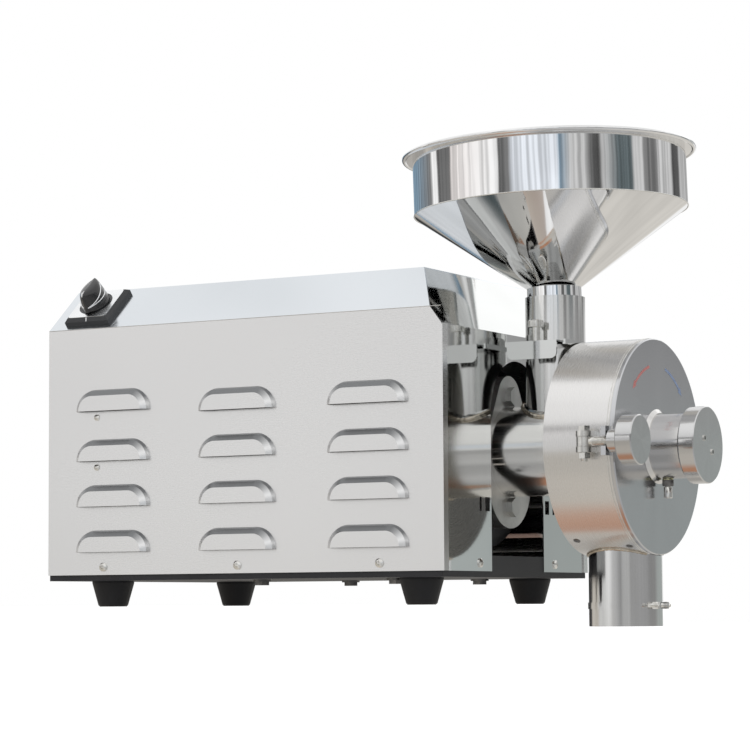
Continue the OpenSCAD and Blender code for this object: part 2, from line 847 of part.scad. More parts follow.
module bearing_tube() {
    color("silver") difference() {
        along_x(tube_rear) cylinder(r = tube_r, h = drum_x - tube_rear, $fn = 96);
        along_x(tube_rear - 1) cylinder(r = tube_in, h = drum_x - tube_rear + 2, $fn = 96);
        translate([feed_cx, 0, axis_z]) cylinder(r = feed_in, h = tube_r + 10);
    }
}

module shaft_bearings() {
    color("lightgray") {
        ring_x(tube_rear + 1, tube_rear + 1 + bearing_w, shaft_bearing_r, shaft_r + run_fit);
        for (x = [shell_front, shell_rear - motor_bearing_w])
            ring_x(x, x + motor_bearing_w, motor_bearing_r - run_fit, shaft_r + run_fit);
    }
}

module feed_tube() {
    color("silver") difference() {
        union() {
            translate([feed_cx, 0, axis_z]) cylinder(r = feed_r, h = feed_top - axis_z);
            intersection() {
                translate([feed_cx, 0, axis_z]) cylinder(r = feed_r + bead_out, h = tube_r + 2 * bead_out);
                along_x(feed_cx - 50) cylinder(r = tube_r + 2.6, h = 100, $fn = 96);
            }
        }
        translate([feed_cx, 0, axis_z - 1]) cylinder(r = feed_in, h = feed_top - axis_z + 2);
        along_x(feed_cx - 60) cylinder(r = tube_r, h = 120, $fn = 96);
        translate([feed_cx - gate_half - gate_clear, -feed_r - 5, gate_z - gate_t - gate_clear])
            cube([2 * (gate_half + gate_clear), feed_r + 5, gate_t + 2 * gate_clear]);
    }
}

module gate_guide() {
    color("silver") difference() {
        union() {
            translate([feed_cx - guide_half, -gate_reach + 6, guide_z]) cube([2 * guide_half, gate_reach - 6, guide_t]);
            for (s = [-1, 1]) translate([feed_cx + s * (guide_half - 1) - 1, -gate_reach + 6, guide_z])
                cube([2, gate_reach - 6, gate_z - guide_z + 1]);
        }
        translate([feed_cx, 0, guide_z - 1]) cylinder(r = feed_r, h = 20);
    }
}

module feed_gate() {
    color("gainsboro") {
        translate([feed_cx, 0, gate_z - gate_t]) linear_extrude(height = gate_t) union() {
            circle(r = gate_half - 0.3);
            translate([-gate_half + 0.3, -gate_reach]) square([2 * gate_half - 0.6, gate_reach]);
        }
        translate([feed_cx, -gate_reach, gate_z]) rotate([90, 0, 0]) linear_extrude(height = gate_t)
            gate_lip_outline();
    }
}

module gate_lip_outline() {
    round_r = 6;
    w = 2 * gate_half - 0.6;
    translate([-w / 2, -gate_lip + round_r]) square([w, gate_lip - round_r]);
    translate([-w / 2 + round_r, -gate_lip]) square([w - 2 * round_r, gate_lip]);
    for (s = [-1, 1]) translate([s * (w / 2 - round_r), -gate_lip + round_r]) circle(r = round_r, $fn = 32);
}

module gate_knob() {
    color("silver") translate([feed_cx, -gate_reach + gate_knob_r + 1, gate_z]) difference() {
        rotate_extrude($fn = 48) polygon([
            [0, 0], [4, 0], [4, 13], [gate_knob_r, 13.6], [gate_knob_r, 19.4], [gate_knob_r - 1, 20.2], [0, 20.2]
        ]);
        for (i = [0 : 19]) rotate([0, 0, i * 18]) translate([gate_knob_r, 0, 13]) cylinder(r = 0.5, h = 8, $fn = 16);
    }
}

module hopper_outline() {
    bend_deg = atan2(hopper_r - neck_r, hopper_waist - cone_foot);
    miter = hopper_t * tan(bend_deg / 2);
    bead_c = hopper_r + rim_w - bead_r;
    polygon([
        [neck_r, neck_foot],
        [neck_r, cone_foot],
        [hopper_r, hopper_waist],
        [hopper_r, hopper_top - hopper_t - bead_r],
        [bead_c, hopper_top - hopper_t - bead_r],
        [bead_c, hopper_top - bead_r],
        [hopper_r - hopper_t, hopper_top - bead_r],
        [hopper_r - hopper_t, hopper_waist + miter],
        [neck_r - hopper_t, cone_foot + miter],
        [neck_r - hopper_t, neck_foot]
    ]);
    translate([bead_c, hopper_top - bead_r]) circle(r = bead_r, $fn = 32);
}

module hopper() {
    color("silver") translate([feed_cx, 0, lean_z]) rotate([0, -hopper_lean, 0]) translate([0, 0, -lean_z])
        rotate_extrude($fn = 128) hopper_outline();
}

// Opening in the bottom of the drum, between x0 and x1
module outlet_hole(x0, x1) {
    intersection() {
        translate([outlet_x, 0, axis_z - drum_r - 5]) cylinder(r = outlet_in, h = 40);
        translate([x0, -drum_r, 0]) cube([x1 - x0, 2 * drum_r, axis_z]);
    }
}

module grinding_drum() {
    color("silver") difference() {
        along_x(drum_x) cylinder(r = drum_r, h = drum_mouth - drum_x, $fn = 128);
        along_x(drum_x + drum_back) cylinder(r = drum_in, h = drum_len, $fn = 128);
        along_x(drum_x - 1) cylinder(r = tube_in, h = drum_back + 2, $fn = 96);
        outlet_hole(drum_x + drum_back, drum_mouth - mouth_land);
        drum_pocket(drum_x + 9, 150);
        drum_pocket(drum_mouth - 9, 157);
    }
}

// Shallow round pocket in the drum wall, turned by deg about the mill axis
module drum_pocket(x, deg) {
    translate([x, 0, axis_z]) rotate([deg, 0, 0]) translate([0, 0, drum_r - pocket_d])
        cylinder(r = pocket_r, h = 5, $fn = 32);
}

module outlet_pipe() {
    color("silver") difference() {
        translate([outlet_x, 0, -outlet_drop]) cylinder(r = outlet_r, h = axis_z - drum_r + outlet_drop + 10);
        translate([outlet_x, 0, -outlet_drop - 1]) cylinder(r = outlet_in, h = axis_z);
        along_x(drum_x - 5) cylinder(r = drum_r, h = drum_mouth - drum_x + 5, $fn = 128);
        along_x(drum_mouth) cylinder(r = drum_r + seat, h = 10, $fn = 128);
    }
}

// Band round the outlet pipe, drawn together by a screw across its two ends
module bag_band() {
    color("silver") translate([outlet_x, 0, band_z]) rotate([0, 0, -12]) difference() {
        union() {
            cylinder(r = outlet_r + band_t, h = band_h, $fn = 96);
            for (y = [-7, 5]) translate([outlet_r, y, 0]) cube([9, 2, band_h]);
        }
        translate([0, 0, -1]) cylinder(r = outlet_r + run_fit, h = band_h + 2, $fn = 96);
        translate([outlet_r + 5, 20, band_h / 2]) rotate([90, 0, 0]) cylinder(r = band_screw_r + 0.1, h = 40, $fn = 24);
    }
}

module band_screw() {
    color("lightgray") translate([outlet_x, 0, band_z + band_h / 2]) rotate([0, 0, -12])
        translate([outlet_r + 5, 0, 0]) rotate([90, 0, 0]) {
            translate([0, 0, -14]) cylinder(r = band_screw_r, h = 32, $fn = 24);
            translate([0, 0, 7]) hex(6.4, 3);
            translate([0, 0, -10]) hex(6.4, 3);
        }
}

module drum_cover() {
    slot_foot = clamp_y - lug_out - 1;
    color("silver") difference() {
        union() {
            along_x(drum_mouth) cylinder(r = drum_r, h = cover_t - 1, $fn = 128);
            along_x(cover_front - 1) cylinder(r1 = drum_r, r2 = drum_r - 1, h = 1, $fn = 128);
            difference() {
                ring_x(drum_mouth - spigot_len, drum_mouth + eps, spigot_r, spigot_r - spigot_t);
                outlet_hole(drum_x, drum_mouth);
            }
            intersection() {
                translate([drum_mouth, clamp_y - lug_out, axis_z - lug_h / 2]) cube([lug_t, lug_out + clamp_out + 10, lug_h]);
                translate([clamp_x, clamp_y, 0]) cylinder(r = nut_x - seat - clamp_x, h = 2 * axis_z);
            }
        }
        along_x(drum_mouth - 10) cylinder(r = cover_hole_r, h = 30);
        translate([drum_mouth - 1, slot_foot, axis_z - lug_slot / 2])
            cube([lug_t + 2, clamp_y - slot_foot + lug_slot / 2, lug_slot]);
    }
}

module adjuster_sleeve() {
    color("silver") difference() {
        union() {
            along_x(cover_front) cylinder(r = sleeve_r, h = sleeve_len);
            along_x(cover_front) cylinder(r1 = sleeve_ring_r, r2 = sleeve_r + 1, h = sleeve_ring_t);
        }
        along_x(cover_front - 1) cylinder(r = sleeve_in, h = sleeve_len + 2);
        translate([lock_x, 0, axis_z - sleeve_r - 10]) cylinder(r = lock_r + run_fit, h = sleeve_r, $fn = 32);
    }
}

module lock_screw() {
    nut_h = 6.5;
    bolt_drop = 18;
    color("silver") translate([lock_x, 0, axis_z - sleeve_r]) {
        translate([0, 0, -bolt_drop + 1]) cylinder(r = lock_r, h = bolt_drop - 2 + sleeve_r - stem_r, $fn = 32);
        translate([0, 0, -seat - nut_h]) hex(lock_nut, nut_h);
        translate([0, 0, -bolt_drop]) hex(8, 8);
    }
}

module adjuster_stem() {
    color("darkgray") {
        along_x(fixed_x + disc_t) cylinder(r = disc_r - 6, h = stem_plate_t, $fn = 96);
        along_x(fixed_x + disc_t + stem_plate_t - eps)
            cylinder(r = stem_r, h = wheel_x - fixed_x - disc_t - stem_plate_t + eps);
    }
}

// Grinding face grooves, cut into a disc whose face lies at z = 0
module grooves() {
    for (i = [0 : groove_count - 1]) rotate([0, 0, i * 360 / groove_count])
        translate([disc_eye + 4, 0, -groove_d]) rotate([0, 0, 14]) translate([0, -1.6, 0])
            cube([disc_r, 3.2, groove_d + 1]);
}

module fixed_disc() {
    color("darkgray") along_x(fixed_x) difference() {
        cylinder(r = disc_r, h = disc_t, $fn = 96);
        translate([0, 0, -1]) cylinder(r = disc_eye, h = disc_t + 2);
        mirror([0, 0, 1]) grooves();
    }
}

module turning_disc() {
    color("darkgray") along_x(turning_x) difference() {
        union() {
            difference() {
                cylinder(r = disc_r, h = disc_t, $fn = 96);
                translate([0, 0, -1]) cylinder(r = disc_eye, h = disc_t + 2);
            }
            cylinder(r = hub_r, h = disc_t);
            for (i = [0 : 2]) rotate([0, 0, i * 120]) translate([0, -5, 0]) cube([disc_eye + 2, 10, disc_t - 3]);
        }
        translate([0, 0, -1]) cylinder(r = shaft_r, h = disc_t + 2);
        translate([0, 0, disc_t]) grooves();
    }
}

module disc_nut() {
    color("silver") difference() {
        along_x(turning_x + disc_t) hex(30, 10);
        along_x(turning_x + disc_t - 1) cylinder(r = shaft_r - 3, h = 12);
    }
}

module mill_shaft() {
    color("lightgray") {
        along_x(rear_bell_back - 30) cylinder(r = shaft_r, h = turning_x + disc_t - rear_bell_back + 30);
        along_x(turning_x + disc_t - eps) cylinder(r = shaft_r - 3, h = 12);
    }
}

module rotor_core() {
    color("gray") ring_x(core_mid - core_len / 2, core_mid + core_len / 2, rotor_r, shaft_r);
}

module cooling_fan() {
    fan_x = rear_bell_back - 26;
    fan_r = motor_r - 22;
    color("darkslategray") difference() {
        union() {
            along_x(fan_x) cylinder(r = fan_r, h = 2.5, $fn = 96);
            along_x(fan_x) cylinder(r = shaft_r + 6, h = 14);
            for (i = [0 : 7]) translate([fan_x, 0, axis_z]) rotate([i * 45, 0, 0])
                translate([0, -1.2, shaft_r + 4]) cube([16, 2.4, fan_r - shaft_r - 4]);
        }
        along_x(fan_x - 1) cylinder(r = shaft_r, h = 30);
    }
}

// Feed screw: one helical flight on a sleeve that turns with the shaft
module feed_screw() {
    x0 = tube_rear + bearing_w + 5;
    len = turning_x - 2 - x0;
    turns = floor(len / flight_pitch * 2) / 2;
    color("silver") {
        ring_x(x0, turning_x - seat, shaft_r + 3.5, shaft_r);
        along_x(x0 + 2)
            linear_extrude(height = turns * flight_pitch, twist = -360 * turns, slices = 24 * turns, segments = 8)
                flight_outline();
    }
}

// Section across the flight: a thin crescent whose sweep makes the helical wall
module flight_outline() {
    half_deg = flight_t / flight_pitch * 180;
    root_r = shaft_r + 2;
    polygon(concat(
        [for (i = [0 : 4]) let (a = -half_deg + i * half_deg / 2)
            [screw_flight_r * cos(a), screw_flight_r * sin(a)]],
        [for (a = [half_deg, -half_deg]) [root_r * cos(a), root_r * sin(a)]]
    ));
}

module cover_hinge() {
    color("silver") difference() {
        union() {
            for (s = [-1, 1]) translate([hinge_x, hinge_y, axis_z + s * 16 - 5]) cylinder(r = knuckle_r, h = 10);
            translate([hinge_x, hinge_y, axis_z - 10.7]) cylinder(r = knuckle_r, h = 21.4);
            intersection() {
                ring_x(hinge_x - 24, hinge_x + 3, drum_r + leaf_t, drum_r);
                for (s = [-1, 1]) translate([hinge_x - 30, 0, axis_z + s * 16 - 5]) cube([60, 2 * drum_r, 10]);
            }
            intersection() {
                ring_x(hinge_x - 3, cover_front - 1, drum_r + leaf_t, drum_r + seat);
                translate([hinge_x - 3, 0, axis_z - 10.7]) cube([60, 2 * drum_r, 21.4]);
            }
        }
        translate([hinge_x, hinge_y, axis_z - 40]) cylinder(r = hinge_pin_r, h = 80);
    }
}

module hinge_pin() {
    color("lightgray") {
        translate([hinge_x, hinge_y, axis_z - 23]) cylinder(r = hinge_pin_r, h = 46);
        translate([hinge_x, hinge_y, axis_z + 21]) cylinder(r = 5, h = 3.5);
    }
}

module clamp_ears() {
    color("silver") difference() {
        for (s = [-1, 1]) translate([clamp_x, 0, axis_z + s * (ear_gap + ear_t) / 2 - ear_t / 2]) {
            translate([0, clamp_y, 0]) cylinder(r = ear_r, h = ear_t);
            translate([-ear_r, clamp_y, 0]) cube([2 * ear_r, clamp_out + 4, ear_t]);
        }
        translate([clamp_x, clamp_y, axis_z - 30]) cylinder(r = pivot_r, h = 60);
        along_x(drum_x) cylinder(r = drum_r, h = drum_len, $fn = 128);
    }
}

module clamp_pivot() {
    top = axis_z + ear_gap / 2 + ear_t;
    low = axis_z - ear_gap / 2 - ear_t;
    color("lightgray") translate([clamp_x, clamp_y, 0]) {
        translate([0, 0, low - 8]) cylinder(r = pivot_r, h = top - low + 8 + eps);
        translate([0, 0, top]) hex(10, 4.5);
        translate([0, 0, low - 5.5]) hex(10, 5);
    }
}

module swing_bolt() {
    color("lightgray") difference() {
        union() {
            translate([clamp_x, clamp_y, axis_z - ear_gap / 2 + seat]) cylinder(r = ear_r - 0.5, h = ear_gap - 2 * seat);
            along_x(clamp_x, clamp_y) cylinder(r = bolt_r, h = bolt_end - clamp_x);
        }
        translate([clamp_x, clamp_y, axis_z - 20]) cylinder(r = pivot_r + run_fit, h = 40);
    }
}

module hand_nut() {
    x0 = nut_x;
    x1 = nut_x + nut_hub_len;
    color("silver") difference() {
        union() {
            along_x(x0, clamp_y) cylinder(r = nut_hub_r, h = nut_hub_len + 1);
            along_x(x1, clamp_y) rotate_extrude($fn = 64) polygon([
                [0, 0], [hand_nut_r - 1, 0], [hand_nut_r, 1], [hand_nut_r, hand_nut_t - 1],
                [hand_nut_r - 1, hand_nut_t], [0, hand_nut_t]
            ]);
        }
        along_x(x0 - 1, clamp_y) cylinder(r = bolt_r + run_fit, h = bolt_end - x0 + 2);
    }
}

module adjuster_wheel() {
    edge = 0.8;
    color("silver") along_x(wheel_x) rotate_extrude($fn = 96) polygon([
        [0, 0], [wheel_r - 2 * edge, 0], [wheel_r, 2 * edge],
        [wheel_r, wheel_t - edge], [wheel_r - edge, wheel_t], [0, wheel_t]
    ]);
}

module wheel_screws() {
    color("lightgray") for (s = [-1, 1])
        along_x(wheel_x + wheel_t, s * 9.2, axis_z - s * 6) difference() {
            cylinder(r = 2.6, h = 1, $fn = 32);
            translate([0, 0, 0.3]) hex(2.4, 2);
        }
}

// Moves children from the XY plane onto the near slope of the top cover
module on_slope() {
    translate([0, -half_w, shoulder_z]) rotate([slope_deg, 0, 0]) translate([0, switch_seat, 0]) children();
}

module switch_plate() {
    w = switch_w;
    color("black") translate([switch_cx, 0, 0]) on_slope() difference() {
        union() {
            translate([-w / 2, -w / 2, 0]) cube([w, w, switch_t - bezel_bevel]);
            intersection() {
                translate([0, 0, switch_t - bezel_bevel - eps]) rotate([90, 0, 0])
                    translate([0, 0, -w / 2]) linear_extrude(height = w) bezel_section(w);
                translate([0, 0, switch_t - bezel_bevel - eps]) rotate([90, 0, 90])
                    translate([0, 0, -w / 2]) linear_extrude(height = w) bezel_section(w);
            }
        }
        translate([0, 0, -1]) cylinder(r = switch_stem_r + 0.4, h = switch_t + 2);
    }
}

module bezel_section(w) {
    polygon([[-w / 2, 0], [w / 2, 0], [w / 2 - bezel_bevel, bezel_bevel], [-w / 2 + bezel_bevel, bezel_bevel]]);
}

module switch_body() {
    block_w = 42;
    block_h = 40;
    color("dimgray") translate([switch_cx, 0, 0]) on_slope() difference() {
        union() {
            translate([-block_w / 2, -block_w / 2, -sheet - block_h]) cube([block_w, block_w, block_h]);
            translate([0, 0, -sheet - 1]) cylinder(r = switch_stem_r + 5, h = sheet + 1);
        }
        translate([0, 0, 10 - block_h]) cylinder(r = switch_stem_r + 0.4, h = block_h + 20);
    }
}

module switch_knob() {
    color("black") translate([switch_cx, 0, 0]) on_slope() {
        translate([0, 0, -20]) cylinder(r = switch_stem_r, h = 22 + switch_t);
        translate([0, 0, switch_t + seat]) {
            cylinder(r1 = knob_r, r2 = knob_r - 1.5, h = skirt_h);
            intersection() {
                translate([leaf_off, 0, 0]) cylinder(r = leaf_r, h = knob_h, $fn = 96);
                translate([-leaf_off, 0, 0]) cylinder(r = leaf_r, h = knob_h, $fn = 96);
                rotate([90, 0, 0]) translate([0, 0, -knob_r]) linear_extrude(height = 2 * knob_r)
                    polygon([[-9, 0], [9, 0], [3.5, knob_h], [-3.5, knob_h]]);
                cylinder(r = knob_r, h = knob_h);
            }
        }
    }
}

base_pan();
rubber_feet();
foot_screws();
near_side_panel();
far_side_panel();
top_cover();
end_panel();
rear_panel();
panel_screws();
cable_inlet();
motor_shell();
stator_core();
stator_coils();
motor_front_bell();
motor_rear_bell();
fan_cowl();
motor_cradle();
motor_bolts();
terminal_box();
run_capacitor();
bearing_flange();
flange_bolts();
bearing_tube();
shaft_bearings();
feed_tube();
gate_guide();
hopper();
grinding_drum();
outlet_pipe();
bag_band();
band_screw();
drum_cover();
cover_hinge();
hinge_pin();
clamp_ears();
clamp_pivot();
adjuster_sleeve();
lock_screw();
switch_plate();
switch_body();
mill_shaft();
rotor_core();
cooling_fan();
feed_screw();
turning_disc();
disc_nut();
feed_gate();
gate_knob();
switch_knob();
adjuster_stem();
fixed_disc();
adjuster_wheel();
wheel_screws();
swing_bolt();
hand_nut();
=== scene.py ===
import math

import bmesh
import bpy
from mathutils import Matrix, Vector


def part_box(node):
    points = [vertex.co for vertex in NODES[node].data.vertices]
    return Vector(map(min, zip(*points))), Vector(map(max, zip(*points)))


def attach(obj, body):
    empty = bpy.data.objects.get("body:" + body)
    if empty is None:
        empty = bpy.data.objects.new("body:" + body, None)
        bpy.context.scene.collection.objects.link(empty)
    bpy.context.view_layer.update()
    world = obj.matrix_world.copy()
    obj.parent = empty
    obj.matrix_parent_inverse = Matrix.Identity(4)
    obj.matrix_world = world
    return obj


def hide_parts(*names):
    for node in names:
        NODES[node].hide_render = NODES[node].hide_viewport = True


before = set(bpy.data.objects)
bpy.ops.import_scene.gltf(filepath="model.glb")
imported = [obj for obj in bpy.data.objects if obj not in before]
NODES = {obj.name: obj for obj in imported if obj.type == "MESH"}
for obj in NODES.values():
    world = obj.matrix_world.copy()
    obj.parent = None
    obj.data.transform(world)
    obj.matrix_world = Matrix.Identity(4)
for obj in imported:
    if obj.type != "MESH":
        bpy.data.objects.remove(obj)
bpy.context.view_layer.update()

X, Y, Z = 0, 1, 2
DECIMALS = 5


# Measures of a node at rest, in metres, to a hundredth of a millimetre
def low_of(node, axis):
    return round(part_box(node)[0][axis], DECIMALS)


def high_of(node, axis):
    return round(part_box(node)[1][axis], DECIMALS)


def middle_of(node, axis):
    low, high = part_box(node)
    return round((low[axis] + high[axis]) / 2, DECIMALS)


# Places and radii from the frame, in metres
AXIS_Z = middle_of("bearing_tube", Z)
FEED_X = middle_of("feed_tube", X)
OUTLET_X = middle_of("outlet_pipe", X)
DRUM_BACK_X = low_of("grinding_drum", X)
COVER_BACK_X = high_of("grinding_drum", X)
COVER_FRONT_X = low_of("adjuster_sleeve", X)
CLAMP_X = middle_of("clamp_pivot", X)
CLAMP_Y = middle_of("hand_nut", Y)
LOCK_X = middle_of("lock_screw", X)
CASE_BACK_X = low_of("top_cover", X)
CASE_FRONT_X = high_of("end_panel", X)
HALF_W = high_of("top_cover", Y)
SHOULDER_Z = high_of("near_side_panel", Z)
ROOF_Z = high_of("top_cover", Z)
TUBE_R = high_of("bearing_tube", Y)
DRUM_R = high_of("drum_cover", Y)
OUTLET_R = high_of("outlet_pipe", Y)

# Sizes of the CAD that no node's box shows, in metres
FEED_R = 0.0283
SLEEVE_R = 0.030
SCREW_HEAD_R = 0.0026
HOPPER_R = 0.1297
HOPPER_WAIST = 0.3707
LEAN_DEG = 1.8
LEAN_AT = Vector((FEED_X, 0, 0.26695))
SLOPE_RUN = 0.0495

# Camera, at the place that the photograph was taken from
CAMERA_AT = Vector((1.3631, -2.3010, 0.0002))
CAMERA_YAW = math.radians(29.51)
CAMERA_PITCH = math.radians(4.85)
CAMERA_ROLL = math.radians(-0.36)
CAMERA_LENS = 129.97


def make_camera():
    ahead = Vector((
        -math.sin(CAMERA_YAW) * math.cos(CAMERA_PITCH),
        math.cos(CAMERA_YAW) * math.cos(CAMERA_PITCH),
        math.sin(CAMERA_PITCH),
    ))
    right = Vector((math.cos(CAMERA_YAW), math.sin(CAMERA_YAW), 0.0))
    up = right.cross(ahead)
    turned_right = right * math.cos(CAMERA_ROLL) + up * math.sin(CAMERA_ROLL)
    turned_up = up * math.cos(CAMERA_ROLL) - right * math.sin(CAMERA_ROLL)
    data = bpy.data.cameras.new("camera")
    data.lens = CAMERA_LENS
    data.sensor_width = 36.0
    data.clip_start = 0.05
    data.clip_end = 60.0
    camera = bpy.data.objects.new("camera", data)
    bpy.context.scene.collection.objects.link(camera)
    camera.matrix_world = Matrix((
        (turned_right.x, turned_up.x, -ahead.x, CAMERA_AT.x),
        (turned_right.y, turned_up.y, -ahead.y, CAMERA_AT.y),
        (turned_right.z, turned_up.z, -ahead.z, CAMERA_AT.z),
        (0, 0, 0, 1),
    ))
    bpy.context.scene.camera = camera


# Node helpers
def add_node(tree, kind, **values):
    node = tree.nodes.new(kind)
    for name, value in values.items():
        setattr(node, name, value)
    return node


def link(tree, source, target):
    tree.links.new(source, target)


def math_node(tree, operation, a, b=None):
    node = add_node(tree, "ShaderNodeMath", operation=operation)
    for socket, value in zip(node.inputs, (a, b)):
        if value is None:
            continue
        if isinstance(value, (int, float)):
            socket.default_value = value
        else:
            link(tree, value, socket)
    return node.outputs[0]


def noise(tree, vector, scale, detail, rough=0.5):
    node = add_node(tree, "ShaderNodeTexNoise")
    node.inputs["Scale"].default_value = scale
    node.inputs["Detail"].default_value = detail
    node.inputs["Roughness"].default_value = rough
    link(tree, vector, node.inputs["Vector"])
    return node.outputs["Fac"]


def spread(tree, value, low, high, start=0.25, stop=0.75):
    """Maps a value that runs from start to stop onto low to high; noise runs from about 0.25 to 0.75."""
    node = add_node(tree, "ShaderNodeMapRange")
    node.inputs["From Min"].default_value = start
    node.inputs["From Max"].default_value = stop
    node.inputs["To Min"].default_value = low
    node.inputs["To Max"].default_value = high
    link(tree, value, node.inputs["Value"])
    return node.outputs["Result"]


def mix_colour(tree, share, first, second, blend="MIX"):
    node = add_node(tree, "ShaderNodeMix", data_type="RGBA", blend_type=blend)
    for number, value in ((0, share), (6, first), (7, second)):
        socket = node.inputs[number]
        if isinstance(value, (int, float)):
            socket.default_value = value
        elif isinstance(value, tuple):
            socket.default_value = (*value, 1.0)
        else:
            link(tree, value, socket)
    return node.outputs[2]


def stretched(tree, scale):
    """Object coordinates multiplied along each axis."""
    place = add_node(tree, "ShaderNodeTexCoord").outputs["Object"]
    node = add_node(tree, "ShaderNodeMapping")
    node.inputs["Scale"].default_value = scale
    link(tree, place, node.inputs["Vector"])
    return node.outputs["Vector"]


def normal_part(tree, axis):
    """One part of the surface's direction, from -1 to 1."""
    parts = add_node(tree, "ShaderNodeSeparateXYZ")
    link(tree, add_node(tree, "ShaderNodeTexCoord").outputs["Normal"], parts.inputs[0])
    return parts.outputs[axis]


def round_axis(tree, axis, centre):
    """The place along an axis through centre, the distance from it and the direction round it."""
    place = add_node(tree, "ShaderNodeTexCoord").outputs["Object"]
    shift = add_node(tree, "ShaderNodeVectorMath", operation="SUBTRACT")
    link(tree, place, shift.inputs[0])
    shift.inputs[1].default_value = centre
    parts = add_node(tree, "ShaderNodeSeparateXYZ")
    link(tree, shift.outputs[0], parts.inputs[0])
    along = parts.outputs[axis]
    a, b = [parts.outputs[other] for other in (X, Y, Z) if other != axis]
    squares = [math_node(tree, "MULTIPLY", part, part) for part in (a, b)]
    radius = math_node(tree, "SQRT", math_node(tree, "ADD", *squares))
    safe = math_node(tree, "MAXIMUM", radius, 0.0005)
    facing = add_node(tree, "ShaderNodeCombineXYZ")
    link(tree, math_node(tree, "DIVIDE", a, safe), facing.inputs[0])
    link(tree, math_node(tree, "DIVIDE", b, safe), facing.inputs[1])
    return along, radius, facing.outputs[0]


def start_material(name, metallic, specular=0.5, coat=0.0, aniso=0.0):
    material = bpy.data.materials.new(name)
    material.use_nodes = True
    tree = material.node_tree
    tree.nodes.clear()
    out = add_node(tree, "ShaderNodeOutputMaterial")
    shader = add_node(tree, "ShaderNodeBsdfPrincipled")
    shader.inputs["Metallic"].default_value = metallic
    shader.inputs["Specular IOR Level"].default_value = specular
    shader.inputs["Coat Weight"].default_value = coat
    shader.inputs["Coat Roughness"].default_value = 0.08
    shader.inputs["Anisotropic"].default_value = aniso
    link(tree, shader.outputs[0], out.inputs["Surface"])
    return material, tree, shader


def finish_material(tree, shader, colour, roughness, height, depth, strength):
    """Gives the shader its colour, its roughness and a bump of that depth in metres."""
    link(tree, colour, shader.inputs["Base Color"])
    link(tree, roughness, shader.inputs["Roughness"])
    bump = add_node(tree, "ShaderNodeBump")
    bump.inputs["Distance"].default_value = depth
    bump.inputs["Strength"].default_value = strength
    link(tree, height, bump.inputs["Height"])
    link(tree, bump.outputs[0], shader.inputs["Normal"])


# Kinds of surface
def grain_of(tree, grain):
    """Fine noise, drawn out along the axes whose scale in grain is low."""
    return noise(tree, stretched(tree, grain), 6.0, 4.0, 0.6)


def sheet_metal(name, dark, light, rough, grain, cloud, wave):
    """Rolled sheet: a fine grain along one direction over soft clouds of tone, and a slight wave."""
    material, tree, shader = start_material(name, 1.0)
    place = stretched(tree, (1, 1, 1))
    fine = grain_of(tree, grain)
    clouds = noise(tree, place, cloud, 2.0)
    colour = mix_colour(tree, spread(tree, clouds, 0.0, 1.0), dark, light)
    roughness = math_node(tree, "ADD", spread(tree, fine, rough * 0.8, rough * 1.2),
                          spread(tree, clouds, 0.0, rough * 0.15))
    waves = math_node(tree, "MULTIPLY", noise(tree, place, 14.0, 1.0), wave)
    height = math_node(tree, "ADD", fine, waves)
    finish_material(tree, shader, colour, roughness, height, depth=0.00002, strength=0.25)
    return material


def pressed_sheet(name, dark, light, rough, shoulder_painted_shade, lip_painted_shade):
    """Satin sheet with pressed louvres. Faces that look up are painted darker, a painted dark reflection on
    the louvre shoulders; faces that look down are painted darker still, painted shade along the louvres' open
    edges.
    """
    material, tree, shader = start_material(name, 1.0)
    place = stretched(tree, (1, 1, 1))
    fine = grain_of(tree, (12, 12, 640))
    clouds = noise(tree, place, 3.0, 2.0)
    upward = normal_part(tree, Z)
    colour = mix_colour(tree, spread(tree, clouds, 0.0, 1.0), dark, light)
    # Painted shade: a painted dark reflection on faces that look up, and painted shade on faces that look
    # down.
    colour = mix_colour(tree, spread(tree, upward, 0.0, 1.0, 0.25, 0.6), colour, shoulder_painted_shade)
    colour = mix_colour(tree, spread(tree, upward, 1.0, 0.0, -0.8, -0.4), colour, lip_painted_shade)
    roughness = math_node(tree, "ADD", spread(tree, fine, rough * 0.97, rough * 1.03),
                          spread(tree, clouds, 0.0, rough * 0.1))
    finish_material(tree, shader, colour, roughness, fine, depth=0.000001, strength=0.08)
    return material


def turned_metal(name, dark, light, rough, centre=(0, 0, AXIS_Z), brushed=0.0, back=None):
    """Metal turned about an axis along X: fine rings about it, and broad soft changes of tone round it.

    A brushed one spreads its gloss along the axis, and back is painted shade on the faces that look back
    along it."""
    rings_per_metre = 2500.0
    material, tree, shader = start_material(name, 1.0, aniso=brushed)
    along, radius, facing = round_axis(tree, X, centre)
    lines = add_node(tree, "ShaderNodeCombineXYZ")
    link(tree, math_node(tree, "MULTIPLY", along, rings_per_metre), lines.inputs[0])
    link(tree, math_node(tree, "MULTIPLY", radius, rings_per_metre), lines.inputs[1])
    fine = noise(tree, lines.outputs[0], 1.0, 3.0, 0.7)
    broad = noise(tree, facing, 1.6, 2.0)
    tone = math_node(tree, "ADD", math_node(tree, "MULTIPLY", fine, 0.3),
                     math_node(tree, "MULTIPLY", broad, 0.7))
    colour = mix_colour(tree, spread(tree, tone, 0.0, 1.0, 0.3, 0.7), dark, light)
    if back is not None:
        # Painted shade on the faces that look back along the axis.
        back_shade_share = spread(tree, normal_part(tree, X), 1.0, 0.0, -0.95, -0.8)
        colour = mix_colour(tree, back_shade_share, colour, back)
    roughness = spread(tree, fine, rough * 0.95, rough * 1.06)
    finish_material(tree, shader, colour, roughness, fine, depth=0.000002, strength=0.15)
    if brushed:
        shader.inputs["Anisotropic Rotation"].default_value = 0.25
        tangent = add_node(tree, "ShaderNodeTangent", direction_type="RADIAL", axis="X")
        link(tree, tangent.outputs[0], shader.inputs["Tangent"])
    return material


